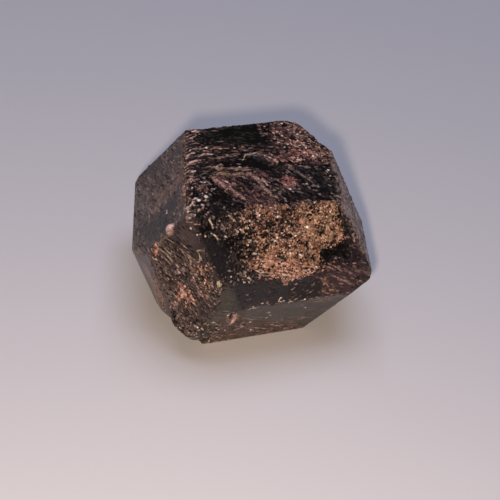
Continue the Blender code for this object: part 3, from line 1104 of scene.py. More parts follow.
CRUST_HALO = Zone(Face.FRONT_SLOPE, ((-10.5, 8.8), (11.4, 8.4), (12.0, 0.0), (8.0, -3.6),
                                     (-5.2, -4.0), (-7.4, 0.0)), fade=2.6, wear=1.4)
CRUST_GAPS = Zone(Face.FRONT_SLOPE, ((-7.0, 9.2), (3.4, 9.2), (1.8, 4.6), (-3.6, 3.0)),
                  fade=2.4, wear=1.4)
CRUST_RIGHT = Zone(Face.FRONT_SLOPE, ((2.6, 8.2), (10.0, 7.6), (10.2, 2.0), (4.0, 1.0)),
                   fade=2.4, wear=1.2)
CRUST_FOOT = Zone(Face.FRONT_SLOPE, ((-7.4, -0.6), (-4.8, 0.6), (4.8, -2.0), (5.2, -3.8),
                                     (-3.4, -3.4)), fade=0.8)
LEFT_ALL = Zone(Face.LEFT_WALL, ((-10.2, 4.2), (-2.0, 14.8), (5.8, 4.3), (5.8, -1.4),
                                 (0.7, -8.6), (-2.2, -7.6)), fade=0.6, wear=0.2)
LEFT_BODY = Zone(Face.LEFT_WALL, ((-9.4, 4.4), (-7.8, 7.6), (-4.2, 8.2), (1.4, 7.8),
                                  (5.8, 4.9), (5.8, -1.4), (0.7, -8.6), (-2.2, -7.6)),
                 fade=1.4)
LEFT_CALM = Zone(Face.LEFT_WALL, ((-6.4, 9.2), (-2.0, 14.4), (3.6, 8.6), (1.4, 8.2),
                                  (-3.8, 8.8)), fade=1.8, wear=1.0)
LEFT_PANEL = Zone(Face.LEFT_WALL, ((1.8, 0.2), (5.6, 0.4), (5.2, -3.4), (2.0, -4.2)))
LEFT_LOWER = Zone(Face.LEFT_WALL, ((-4.4, -3.4), (5.4, -4.0), (0.7, -8.6), (-2.2, -7.8)))
STRIP_ALL = Zone(Face.LEFT_BEVEL, ((-6.0, 10.0), (0.0, 10.0), (5.0, -4.0), (-3.0, -4.0)))
STRIP_FOOT = Zone(Face.LEFT_BEVEL, ((-3.2, -0.8), (2.2, -0.8), (4.0, -4.4), (-2.4, -4.4)))
SLOPE_ALL = Zone(Face.LEFT_SLOPE, ((-21.0, -9.0), (-17.0, -11.0), (3.0, -11.0), (10.0, -5.4),
                                   (14.0, 7.0), (-16.0, 7.0)), fade=0.6, wear=0.2)
SLOPE_LEFT = Zone(Face.LEFT_SLOPE, ((-21.0, 6.4), (-10.6, 6.4), (-8.0, -4.0), (-20.0, -8.4)),
                  fade=3.0)
SLOPE_PATCH = Zone(Face.LEFT_SLOPE, ((-17.4, 4.4), (-14.6, 4.0), (-15.4, -1.0), (-18.4, -2.0)),
                   fade=2.0)
SLOPE_MIDDLE = Zone(Face.LEFT_SLOPE, ((-7.4, 5.4), (0.2, 5.6), (0.0, 0.4), (-2.6, -3.4),
                                      (-6.8, -2.4)), fade=2.6)
SLOPE_FOOT = Zone(Face.LEFT_SLOPE, ((-20.0, -8.0), (-1.6, -7.0), (2.6, -9.0), (2.0, -11.2),
                                    (-17.0, -11.2)), fade=1.6)
SLOPE_RIGHT = Zone(Face.LEFT_SLOPE, ((1.4, 4.2), (8.6, 3.2), (10.4, -1.6), (4.6, -6.4),
                                     (-0.6, -7.0), (1.4, -3.0)), 0.72, fade=1.8)
SLOPE_BASIN = Zone(Face.LEFT_SLOPE, ((-3.4, -6.2), (1.8, -6.6), (2.6, -8.6), (-2.4, -9.4)), 0.7,
                   fade=1.6)
UNDER_FRONT = Zone(Face.FRONT_UNDER, ((-15.0, -0.9), (-10.4, -8.0), (8.8, -8.0), (13.8, 7.2),
                                      (-12.0, 7.2)), fade=0.6, wear=0.2)
UNDER_OLIVE = Zone(Face.FRONT_UNDER, ((-6.4, 6.6), (12.4, 6.6), (9.0, -5.0), (1.8, -1.6),
                                      (-5.4, 2.2)), fade=1.4)
UNDER_STREAKS = Zone(Face.FRONT_UNDER, ((-9.4, 5.0), (-7.0, 4.4), (-6.2, 1.6), (1.6, -2.0),
                                        (6.6, -4.6), (8.4, -7.0), (-10.2, -7.0)), fade=1.0)
UNDER_CORNER = Zone(Face.FRONT_UNDER, ((-15.0, 3.0), (-9.4, 3.0), (-8.6, -3.4), (-10.2, -7.6),
                                       (-13.0, -5.0)), fade=1.2)
BEVEL_ALL = Zone(Face.FRONT_BEVEL, ((-12.4, -2.0), (13.2, -2.0), (17.0, 1.3), (15.6, 5.4),
                                    (-12.4, 5.4)), fade=0.6, wear=0.2)
BEVEL_RIGHT = Zone(Face.FRONT_BEVEL, ((1.6, 5.4), (16.6, 5.0), (16.6, 0.6), (9.6, -0.6),
                                      (6.8, 2.4)), fade=1.4)
BEVEL_PATCH = Zone(Face.FRONT_BEVEL, ((6.7, 2.8), (8.4, 2.4), (9.4, 0.6), (9.0, -0.8),
                                      (7.0, -0.2)), fade=0.7)
BEVEL_DARK = Zone(Face.FRONT_BEVEL, ((0.8, 2.6), (6.6, 2.8), (6.8, -0.8), (1.0, -0.8)),
                  fade=0.5, wear=0.3)
BEVEL_OLIVE = Zone(Face.FRONT_BEVEL, ((-12.6, 4.4), (-9.4, 4.0), (-6.4, -2.6), (-12.6, -2.6)),
                   fade=6.0, wear=1.4)
BEVEL_FRINGE = Zone(Face.FRONT_BEVEL, ((-4.6, 5.6), (5.8, 5.6), (3.4, 4.0), (0.8, 3.6),
                                       (0.3, 2.5), (-1.0, 3.8)), fade=0.7, wear=0.9)
# The bevel's low edge, where cream grains stand for glints: painted highlight.
BEVEL_EDGE_GLINTS = Zone(Face.FRONT_BEVEL, ((-7.0, -0.6), (12.6, -0.6), (12.6, -1.8), (-7.0, -1.8)),
                  0.09, fade=0.6)
SIDE_ALL = Zone(Face.RIGHT_SLOPE, ((-9.6, -5.7), (-9.0, -8.3), (7.2, -8.3), (12.0, 6.4),
                                   (-5.0, 6.4)), fade=0.6, wear=0.2)
# The middle of the right slope, where a light patch is painted highlight.
SIDE_MIDDLE = Zone(Face.RIGHT_SLOPE, ((-5.0, 4.0), (6.0, 4.4), (5.0, -4.4), (-3.4, -5.0)),
                   fade=2.4)

# What lies on each face, from the garnet outwards. Grit and hairs give their seed, grain
# width, colours, zones, bare zones, rise, stretch and flow. A mark gives its feature, colours
# and rise, how broken it is, its roughness and its grain.
TOP_LAYERS = (
    Grit(201, 0.30, DUSK, (thin(TOP_BACK, 0.52),), (thin(DARK_LENS, 0.5),), 0.06, 2.0, -18.0),
    Grit(221, 0.30, DUSK, (thin(TOP_FRONT, 0.54),), (), 0.08, 2.2, -66.0),
    Grit(212, 0.26, GREY, (thin(TOP_BACK, 0.16),), (thin(SMOOTH_BACK, 0.10), DARK_LENS), 0.08,
         4.4, -12.0, patchy=1.2),
    Grit(222, 0.30, GREY, (thin(TOP_FRONT, 0.17), thin(SPECKLED_TOP, 0.32)),
         (thin(DARK_FRONT, 0.10),), 0.10, 2.0, -62.0, patchy=1.3),
    Grit(203, 0.28, RUST, (thin(TAN_BAND, 0.56), thin(BACK_FLECKS, 0.24)), (DARK_LENS,), 0.10,
         3.4, -16.0, patchy=1.2, patch=3.0),
    Grit(213, 0.30, CREAM, (thin(TAN_BAND, 0.10), thin(BACK_FLECKS, 0.04)), (DARK_LENS,), 0.12,
         2.0, -20.0, patchy=1.2),
    Grit(202, 0.28, PINK, (thin(LEDGE_STRIP, 0.16),), (), 0.10, 3.4, 14.0, patchy=1.2),
    Grit(204, 0.30, PLUM, (thin(MIDDLE, 0.48),), (), 0.14, 3.0, -70.0, patchy=1.6,
         patch=6.0),
    Grit(205, 0.26, PINK, (thin(MIDDLE, 0.21),), (), 0.12, 3.0, -72.0, patchy=1.6,
         patch=6.0),
    Grit(206, 0.38, PINK, (thin(ROUGH_FRONT, 0.22),), (), 0.22, 2.0, 52.0, patchy=1.3,
         patch=3.0),
    Grit(216, 0.32, CREAM, (thin(ROUGH_FRONT, 0.04), thin(DARK_FRONT, 0.02)), (), 0.16, 1.6,
         52.0, patchy=1.2),
    Grit(208, 0.34, PLUM, (thin(MOTTLED_RIGHT, 0.43),), (), 0.08, 1.6, -54.0, patchy=1.0),
    Grit(207, 0.32, SALMON, (thin(SALMON_RIGHT, 0.46), thin(MOTTLED_RIGHT, 0.16)), (), 0.08,
         1.6, -54.0, patchy=1.2, patch=3.0),
    Grit(218, 0.32, RUST, (thin(RIGHT_RIM, 0.45),), (), 0.08, 1.4, -70.0),
    Grit(217, 0.28, CREAM, (thin(MOTTLED_RIGHT, 0.06),), (), 0.10),
    Grit(209, 0.32, ROSE, (thin(ROSE_PATCH, 0.80), thin(ROSE_RIGHT, 0.30)), (), 0.10,
         patchy=0.6),
    Grit(219, 0.32, TAN, (thin(TOP_EDGE, 0.42),), (), 0.14, patchy=1.2, patch=3.0),
    # The ledges: painted shade at their feet and painted highlight on their crests; the faint
    # pink farther in is mica.
    Mark(Steps(RIDGE_LEDGES, 0.50, 0.12, 3.4), PAINTED_SHADE, 0.0, 0.4, 0.65),
    Mark(Steps(RIDGE_LEDGES, 0.70, 0.94, 2.4), CREST_HIGHLIGHT, 0.03, 0.9),
    Mark(Steps(RIDGE_LEDGES, 0.78, 0.96, 7.0, 0.6), PINK, 0.0, 1.0),
    Mark(LEFT_RIB, PINK, 0.05, 1.0),
    Mark(PLUM_RIB, PLUM, 0.0, 0.9),
    Mark(MIDDLE_RIB, PINK, 0.0, 1.3),
    Mark(RIGHT_RIB, GREY, 0.04, 0.7),
    Mark(Bump(Face.TOP, -3.0, 11.5, 0.9), RUST, 0.06, 0.9),
    Mark(Bump(Face.TOP, 0.9, 10.2, 1.0), RUST, 0.06, 0.7),
    Mark(Bump(Face.TOP, -5.2, 4.8, 1.3), RUST, 0.08, 1.0),
    Mark(Bump(Face.TOP, -5.0, 2.8, 0.8), GOLD, 0.08, 0.9),
    # Painted shade in the chip.
    Mark(Bump(Face.TOP, 12.9, -0.6, 1.0), PAINTED_SHADE, 0.0, 0.4),
    # Lines that carry the ledges' crests inwards, pink with painted highlight.
    *veins(Face.TOP, (((-7.4, 9.2), (-6.0, 9.9), (-4.0, 9.3)),
                      ((-10.9, 6.6), (-9.0, 7.9), (-6.4, 8.3)),
                      ((-9.8, 8.8), (-8.4, 10.4), (-7.2, 10.8))), CREST_HIGHLIGHT, 0.34, 0.08, 0.6),
    *veins(Face.TOP, (((-0.4, 6.3), (0.8, 8.1), (3.0, 8.3), (4.5, 6.7), (5.4, 4.6)),
                      ((10.2, -5.8), (10.9, -6.9), (11.3, -8.2)),
                      ((-0.4, 0.2), (0.0, -2.2), (0.3, -5.0)),
                      ((-15.6, -8.2), (-14.6, -6.4), (-14.9, -4.6)),
                      ((-14.4, -5.6), (-12.8, -4.2)), ((-13.6, -7.4), (-12.6, -6.2))),
           CREAM, 0.20, 0.05, 0.8),
    *veins(Face.TOP, (((-12.9, 1.6), (-13.6, -0.6), (-14.4, -3.2)),
                      ((-12.2, 1.9), (-11.0, 2.6), (-9.4, 2.4))), PINK, 0.50, 0.08, 0.7),
    # Painted glints.
    *specks(Face.TOP, ((-9.1, 1.2), (7.4, -2.9), (4.0, -3.9), (12.4, -1.3), (13.3, -0.4),
                       (12.9, 0.5)), PAINTED_GLINT, 0.30),
    # Larger painted glints.
    *specks(Face.TOP, ((-12.3, -3.3), (-12.0, -3.9), (-10.5, -3.2)), PAINTED_GLINT, 0.48, 0.14),
    *specks(Face.TOP, ((-13.2, -5.2), (-14.7, -6.7), (-12.9, -6.6), (-15.2, -8.4),
                       (-11.9, -5.4), (-13.9, -1.9), (0.9, -0.4), (9.4, 4.6)), CREAM, 0.40,
            0.12),
    # Scattered painted glints.
    Grit(210, 0.28, PAINTED_GLINT, (thin(TOP_BACK, 0.008), thin(TOP_FRONT, 0.012),
                            thin(ROUGH_FRONT, 0.03)), (), 0.10, roughness=0.25),
)
FRONT_LAYERS = (
    Grit(101, 0.30, DUSK, (thin(FRONT_ALL, 0.60),), (thin(SMOOTH_FRONT, 0.4),
                                                   thin(RIGHT_FACET, 0.5)), 0.06),
    Grit(107, 0.28, GREY, (thin(FRONT_ALL, 0.11), thin(SALTED_FRONT, 0.28)),
         (thin(SMOOTH_FRONT, 0.07), RIGHT_FACET, SHADED_HOLLOW), 0.10, patchy=1.0),
    Grit(105, 0.28, CREAM, (thin(SPECKLED_FRONT, 0.09), thin(SALTED_FRONT, 0.10)),
         (SMOOTH_FRONT, SHADED_HOLLOW), 0.12, 1.9, -42.0, patchy=1.4, patch=3.0),
    Grit(102, 0.34, TAN, (thin(CRUST, 0.52), thin(CRUST_CORE, 0.86), thin(CRUST_HALO, 0.10)),
         (SHADED_HOLLOW, SMOOTH_FRONT, thin(CRUST_GAPS, 0.24)), 0.20, patchy=0.8, patch=3.0),
    Grit(103, 0.46, TAN, (thin(CRUST, 0.14),), (SHADED_HOLLOW,), 0.26),
    Grit(104, 0.24, TAN, (thin(CRUST, 0.36), thin(CRUST_HALO, 0.12)),
         (SHADED_HOLLOW, SMOOTH_FRONT, thin(CRUST_GAPS, 0.18)), 0.12, patchy=0.8),
    Grit(112, 0.30, CRUST_GOLD, (thin(CRUST_RIGHT, 0.34),),
         (SHADED_HOLLOW, thin(CRUST_GAPS, 0.24)), 0.16, patch=3.0),
    Grit(108, 0.26, SALMON, (thin(CRUST_FOOT, 0.46),), (), 0.12, 2.6, -14.0),
    # Sunk grains painted near-black: painted shade in the gaps of the crust.
    Grit(109, 0.26, PAINTED_SHADE, (thin(CRUST, 0.12), thin(CRUST_GAPS, 0.26)),
         (thin(CRUST_CORE, 0.05),), -0.10, patchy=1.4, patch=3.0),
    Grit(119, 0.24, FACET_WORN, (thin(RIGHT_FACET, 0.26),), (), 0.05, 3.0, -30.0),
    # Sunk grains painted near-black: painted shade on the right facet.
    Grit(120, 0.26, PAINTED_SHADE, (thin(RIGHT_FACET, 0.14),), (), -0.02, 2.0, -30.0, patchy=1.2),
    # Painted shade in the hollow, rough so that it shows no reflection.
    Mark(SHADED_HOLLOW, PAINTED_SHADE, 0.0, 0.3, 0.75),
    Grit(110, 0.26, PINK, (thin(CRUST, 0.08),), (SHADED_HOLLOW,), 0.14),
    Mark(Bump(Face.FRONT_SLOPE, 3.7, 5.1, 0.8), SALMON, 0.10, 0.4),
    Mark(Bump(Face.FRONT_SLOPE, 10.2, 1.7, 0.7), SALMON, 0.10, 0.4),
    *veins(Face.FRONT_SLOPE, (((-12.2, 7.4), (-11.7, 6.4), (-11.6, 5.6)),
                              ((-12.2, 5.2), (-11.4, 4.6), (-10.8, 3.8)),
                              ((-8.8, 7.6), (-7.6, 6.2)), ((-7.2, 5.2), (-6.4, 4.4)),
                              ((-8.0, 5.3), (-7.4, 4.6))), CREAM, 0.22, 0.08, 0.8),
    *veins(Face.FRONT_SLOPE, (((-15.6, 7.0), (-13.5, 6.6)), ((-14.7, 2.6), (-13.2, 2.4)),
                              ((6.6, -2.4), (8.6, -3.4)), ((7.4, -2.2), (10.2, -3.8))),
           PINK, 0.18, 0.04, 0.8),
    *veins(Face.FRONT_SLOPE, (((-5.6, -1.4), (-4.4, -2.2), (-3.0, -2.4)),
                              ((-3.6, -2.0), (-2.0, -3.2)), ((-0.6, -2.9), (1.2, -3.5)),
                              ((2.6, -3.0), (4.4, -2.8)), ((-6.6, 0.2), (-5.8, -1.0))),
           CREAM, 0.15, 0.05, 0.6),
    # Painted glints in the crust.
    *specks(Face.FRONT_SLOPE, ((-0.5, 6.3), (2.2, 2.9), (-0.9, 3.0), (4.4, 4.0),
                               (-3.6, 6.9), (8.8, 6.0), (1.1, 0.2)), PAINTED_GLINT, 0.28),
    *specks(Face.FRONT_SLOPE, ((-14.8, 6.0), (-14.3, 5.1), (-13.0, 4.7), (-10.4, 6.8),
                               (-9.4, -2.2), (-8.2, -2.9), (-6.9, -2.4)), CREAM, 0.22),
    # Scattered painted glints in the crust.
    Grit(106, 0.26, PAINTED_GLINT, (thin(CRUST, 0.035), thin(CRUST_HALO, 0.02)), (SHADED_HOLLOW,), 0.10,
         roughness=0.25),
)
LEFT_LAYERS = (
    Grit(311, 0.26, STRIP_WORN, (thin(STRIP_ALL, 0.30),), (), 0.03, 2.0, 60.0),
    # Sunk grains painted near-black: painted shade at the strip's foot.
    Grit(312, 0.22, PAINTED_SHADE, (thin(STRIP_FOOT, 0.20),), (), -0.02, 1.6, -30.0, patchy=1.2),
    Grit(313, 0.22, CREAM, (thin(STRIP_FOOT, 0.10), thin(STRIP_ALL, 0.02)), (), 0.06),
    Mark(LEFT_CALM, WALL_CALM, 0.0, 0.4, 0.42, 1.2),
    Grit(301, 0.26, DUSK, (thin(LEFT_ALL, 0.36),), (thin(LEFT_CALM, 0.26),), 0.06, 2.2, -24.0),
    Grit(302, 0.24, WALL_GROUND, (thin(LEFT_BODY, 0.46),), (thin(LEFT_PANEL, 0.2),), 0.07,
         2.2, -30.0),
    Grit(307, 0.24, RUST, (thin(MOTTLED_LEFT, 0.48), thin(LEFT_BODY, 0.09)),
         (thin(LEFT_PANEL, 0.1),), 0.10, 1.8, -50.0),
    Grit(309, 0.22, WALL_GRAIN, (thin(LEFT_BODY, 0.17),), (thin(LEFT_PANEL, 0.1),), 0.08,
         2.4, -35.0, patchy=1.3),
    # Sunk grains painted near-black: painted shade in the wall's pits.
    Grit(310, 0.22, PAINTED_SHADE, (thin(LEFT_LOWER, 0.20), thin(LEFT_BODY, 0.12),
                            thin(MOTTLED_LEFT, 0.2)),
         (thin(LEFT_PANEL, 0.1),), -0.04, 2.0, -10.0),
    Grit(303, 0.25, SALMON, (thin(SALMON_LEFT, 0.46), thin(MOTTLED_LEFT, 0.18)), (), 0.12,
         1.6, -60.0, patchy=0.9),
    Grit(304, 0.22, CREAM, (thin(LEFT_LOWER, 0.06), thin(LEFT_BODY, 0.02)), (), 0.08, 1.8,
         -6.0, patchy=1.2),
    # The seam along the strip's edge: a groove with painted shade in it.
    Mark(Rib(Face.LEFT_WALL, ((-10.4, 5.2), (-8.4, 2.0), (-6.4, -1.2), (-4.2, -4.2)), 0.80),
         PAINTED_SHADE, -0.08, 0.5),
    Mark(Bump(Face.LEFT_WALL, -1.5, -0.5, 0.9), SALMON, 0.12, 0.6),
    *veins(Face.LEFT_WALL, (((-1.5, -0.4), (-2.2, 0.8), (-2.8, 1.8)),
                            ((-1.6, -0.6), (-0.2, -0.9), (1.2, -1.2)),
                            ((-1.6, -0.8), (-2.2, -2.0), (-2.7, -3.3)),
                            ((-8.5, 7.5), (-7.0, 6.4), (-6.4, 5.4)),
                            ((-8.3, 7.0), (-7.7, 5.6), (-7.3, 4.2)),
                            ((-7.2, 6.0), (-7.4, 4.6))), SALMON, 0.34, 0.08, 0.5),
    *veins(Face.LEFT_WALL, (((-2.2, 7.4), (-0.6, 6.7), (1.6, 6.3)),
                            ((-6.4, 5.6), (-4.0, 4.2)), ((-5.6, 4.8), (-4.2, 3.9)),
                            ((-7.2, 9.2), (-5.4, 8.6), (-4.0, 8.4)),
                            ((-2.4, 13.2), (-0.6, 13.6)), ((-3.0, 8.9), (-1.4, 8.4))),
           WALL_THREAD, 0.20, 0.04, 0.7),
    *veins(Face.LEFT_WALL, (((-4.0, 8.3), (-1.4, 7.6), (0.6, 7.0), (1.3, 7.6)),
                            ((1.3, 7.6), (0.9, 8.2), (0.2, 8.9), (1.4, 9.5)),
                            ((-6.8, 6.4), (-5.4, 5.9), (-3.9, 5.0)),
                            ((-6.2, 6.8), (-5.0, 6.2), (-4.0, 6.0))),
           WALL_VEIN, 0.20, 0.06, 0.75),
    Mark(Bump(Face.LEFT_WALL, 5.1, 4.6, 1.1), STRAW, 0.10, 1.0, grain=0.3),
    Mark(Bump(Face.LEFT_WALL, 5.6, 3.6, 0.7), RUST, 0.10, 0.9),
    # A groove with painted shade in it.
    Mark(Rib(Face.LEFT_WALL, ((4.1, 5.9), (4.0, 4.8), (4.4, 3.8)), 0.5), PAINTED_SHADE, -0.20, 0.0),
    Mark(KNOB, KNOB_ROSE, 0.0, 0.0, 0.42),
    *specks(Face.LEFT_WALL, ((-7.2, 3.9), (-5.0, 13.8), (-1.3, 12.4), (-4.1, -4.4),
                             (-1.3, -4.6)), CREAM, 0.30),
    # Scattered painted glints on the wall.
    Grit(306, 0.26, PAINTED_GLINT, (thin(LEFT_BODY, 0.015),), (), 0.10, roughness=0.25),
)
SLOPE_LAYERS = (
    Mark(SLOPE_LEFT, SLOPE_GROUND, 0.0, 0.3, 0.42, 2.0),
    Mark(SLOPE_PATCH, SLOPE_OLIVE, 0.0, 0.8, 0.42, 1.4),
    Mark(SLOPE_MIDDLE, SLOPE_BROWN, 0.0, 0.6, 0.46, 1.3),
    Mark(SLOPE_FOOT, SLOPE_PALE, 0.0, 0.5, 0.46, 1.3),
    Grit(701, 0.34, SLOPE_GRAIN, (thin(SLOPE_ALL, 0.34),), (), 0.03, 4.2, 22.0, patchy=1.1,
         patch=6.0),
    Hairs(705, 0.6, SLOPE_CRACK, (thin(SLOPE_ALL, 0.32),), (), -0.02, 5.0, 24.0, patchy=1.0,
          fine=0.17),
    Hairs(702, 0.5, SLOPE_THREAD, (thin(SLOPE_ALL, 0.44),), (), 0.03, 5.0, 22.0, patchy=1.0,
          fine=0.21),
    Mark(SLOPE_RIGHT, SLOPE_DARK, 0.0, 0.8, 0.38, 0.8),
    Mark(SLOPE_BASIN, SLOPE_SHADE, 0.0, 0.8, 0.40, 0.8),
    Grit(703, 0.28, CREAM, (thin(SLOPE_ALL, 0.03),), (), 0.06, 1.8, 20.0),
    Mark(Rib(Face.LEFT_SLOPE, ((2.2, 5.0), (3.6, 5.6), (6.4, 5.2)), 0.9), SALMON, 0.10, 0.8),
    *veins(Face.LEFT_SLOPE, (((0.6, 3.3), (1.5, 3.6)), ((-0.3, 1.6), (0.8, 1.9)),
                             ((-0.6, -0.1), (1.1, 0.3)), ((-1.4, -1.7), (-0.3, -1.4)),
                             ((-1.6, -3.1), (-0.3, -2.9)), ((-2.0, -4.8), (-0.6, -4.6)),
                             ((-1.0, -8.1), (0.6, -7.9)), ((1.4, -8.1), (2.7, -7.9)),
                             ((3.2, 0.3), (4.5, 0.8)), ((6.9, 2.5), (8.3, 3.0)),
                             ((-11.2, 1.4), (-10.2, 1.7)), ((-4.4, 2.0), (-3.4, 2.6)),
                             ((-5.0, 4.6), (-3.8, 5.2))),
           SLOPE_DASH, 0.40, 0.05, 0.8),
    *specks(Face.LEFT_SLOPE, ((4.5, 0.5), (9.2, -0.9)), CREAM, 0.36, 0.06),
    Mark(KNOB, KNOB_ROSE, 0.0, 0.0, 0.42),
)
UNDER_LAYERS = (
    Mark(UNDER_OLIVE, OLIVE, 0.0, 0.2, 0.42, 1.8),
    Grit(801, 0.26, UNDER_GROUND, (thin(UNDER_STREAKS, 0.62),), (), 0.05, 3.0, -24.0),
    Grit(805, 0.24, PINK, (thin(UNDER_STREAKS, 0.16),), (), 0.05, 3.4, -26.0, patchy=1.3),
    Grit(806, 0.26, DUSK, (thin(UNDER_CORNER, 0.70),), (), 0.04, 1.6, -40.0),
    Grit(807, 0.26, CREAM, (thin(UNDER_CORNER, 0.14), thin(UNDER_STREAKS, 0.05)), (), 0.08,
         1.6, -40.0, patchy=1.2),
    Hairs(802, 0.8, GREY, (thin(UNDER_FRONT, 0.35),), (), 0.03, 5.0, -24.0),
    Mark(Rib(Face.FRONT_UNDER, ((-7.9, 5.0), (-7.5, 3.0), (-7.3, 0.6)), 0.60), UNDER_SALMON,
         0.12, 0.7),
    # A groove beside the salmon rib, with painted shade in it.
    Mark(Rib(Face.FRONT_UNDER, ((-8.6, 5.6), (-8.3, 3.0)), 0.34), PAINTED_SHADE, -0.06, 0.4),
    Mark(Rib(Face.FRONT_UNDER, ((-12.0, -6.4), (-4.0, -6.9), (8.6, -6.9)), 0.7), RUST, 0.0,
         0.6),
    *veins(Face.FRONT_UNDER, (((-2.2, 3.5), (-1.2, 3.0), (-1.3, 2.6)),
                              ((-0.9, 2.0), (-0.4, 1.4)),
                              ((-2.6, -2.6), (0.4, -4.2)), ((0.8, -2.6), (3.4, -4.4))),
           UNDER_VEIN, 0.20, 0.05, 0.8),
    *specks(Face.FRONT_UNDER, ((-1.3, 3.2), (5.3, 2.8), (-1.1, 0.9), (-9.1, 4.8)), CREAM, 0.34),
)
BEVEL_LAYERS = (
    Mark(BEVEL_OLIVE, BEVEL_GROUND, 0.0, 0.6, 0.42, 1.6),
    Mark(BEVEL_DARK, BEVEL_BLACK, 0.0, 0.2, 0.40, 0.8),
    Grit(111, 0.28, DUSK, (thin(BEVEL_ALL, 0.24),), (thin(BEVEL_OLIVE, 0.2),), 0.03, 2.0, -8.0),
    Grit(115, 0.26, GREY, (thin(BEVEL_DARK, 0.22), thin(BEVEL_ALL, 0.05)), (), 0.04, 1.8, 12.0),
    Grit(112, 0.28, PLUM, (thin(BEVEL_RIGHT, 0.30),), (), 0.04, 3.4, -28.0),
    Grit(116, 0.26, BEVEL_WORN, (thin(BEVEL_RIGHT, 0.24),), (), 0.04, 4.0, -30.0, patchy=1.2),
    Grit(113, 0.28, TAN, (thin(BEVEL_FRINGE, 0.80),), (), 0.12),
    Grit(118, 0.28, BEVEL_TAN, (thin(BEVEL_PATCH, 0.70),), (), 0.10, 1.6, -40.0),
    Grit(117, 0.28, PINK, (thin(BEVEL_FRINGE, 0.40),), (), 0.12),
    # A dent with painted shade in it.
    Mark(Bump(Face.FRONT_BEVEL, 13.3, 1.9, 0.8), PAINTED_SHADE, -0.06, 0.9),
    *veins(Face.FRONT_BEVEL, (((6.4, 2.6), (7.6, 1.6), (8.2, 0.8)),
                              ((6.8, 0.6), (7.6, -0.2), (9.0, -0.7)),
                              ((8.4, 3.2), (11.0, 1.6), (12.6, 0.4)),
                              ((13.2, 1.0), (13.9, 1.2), (14.6, 0.6))),
           PINK, 0.20, 0.04, 0.7),
    # Painted glints along the bevel's worn foot.
    *specks(Face.FRONT_BEVEL, ((-5.1, -0.9), (-0.3, 0.1), (0.2, -0.6), (1.5, -0.9),
                               (4.1, -0.9)), PAINTED_GLINT, 0.17, 0.04),
    # Cream lines along the edge: painted glints.
    *veins(Face.FRONT_BEVEL, (((-0.4, 0.2), (-0.7, -0.5), (0.1, -0.8)),
                              ((1.0, -1.1), (2.6, -0.9)), ((3.2, -1.1), (5.6, -1.0)),
                              ((-6.2, -1.2), (-3.6, -1.3))), CREAM, 0.14, 0.03, 0.9),
    # Cream grains along the edge: painted glints.
    Grit(114, 0.26, CREAM, (BEVEL_EDGE_GLINTS,), (), 0.06, 2.0),
)
SIDE_LAYERS = (
    # Painted highlight: a soft light patch in the middle of the slope.
    Mark(SIDE_MIDDLE, SIDE_HIGHLIGHT, 0.0, 0.5, 0.42, 1.6),
    Grit(901, 0.30, GREY, (thin(SIDE_ALL, 0.30),), (), 0.05, 1.8, 30.0),
    Grit(902, 0.30, PINK, (thin(SIDE_ALL, 0.26),), (), 0.05, 1.8, 30.0, patchy=1.2),
    Grit(904, 0.30, RUST, (thin(SIDE_ALL, 0.16),), (), 0.05, patchy=1.2),
    Grit(903, 0.28, CREAM, (thin(SIDE_ALL, 0.06),), (), 0.08),
)


# ------------------------------------------------------------------------------ finishes

def add_node(tree: bpy.types.NodeTree, kind: str, settings: dict | None = None,
             inputs: dict | None = None) -> bpy.types.Node:
    """Adds a node, sets it up and links what feeds it.

    Args:
        tree: The node tree.
        kind: The node's type name.
        settings: Properties of the node by name.
        inputs: Input name or number to a value, or to the output socket that feeds it.

    Returns:
        The node.
    """
    node = tree.nodes.new(kind)
    for name, value in (settings or {}).items():
        setattr(node, name, value)
    for name, value in (inputs or {}).items():
        if isinstance(value, bpy.types.NodeSocket):
            tree.links.new(value, node.inputs[name])
        else:
            node.inputs[name].default_value = value
    return node


def per_metre(width_mm: float) -> float:
    """A noise scale whose lumps are about the given number of millimetres wide."""
    return 1.0 / (width_mm * MM)


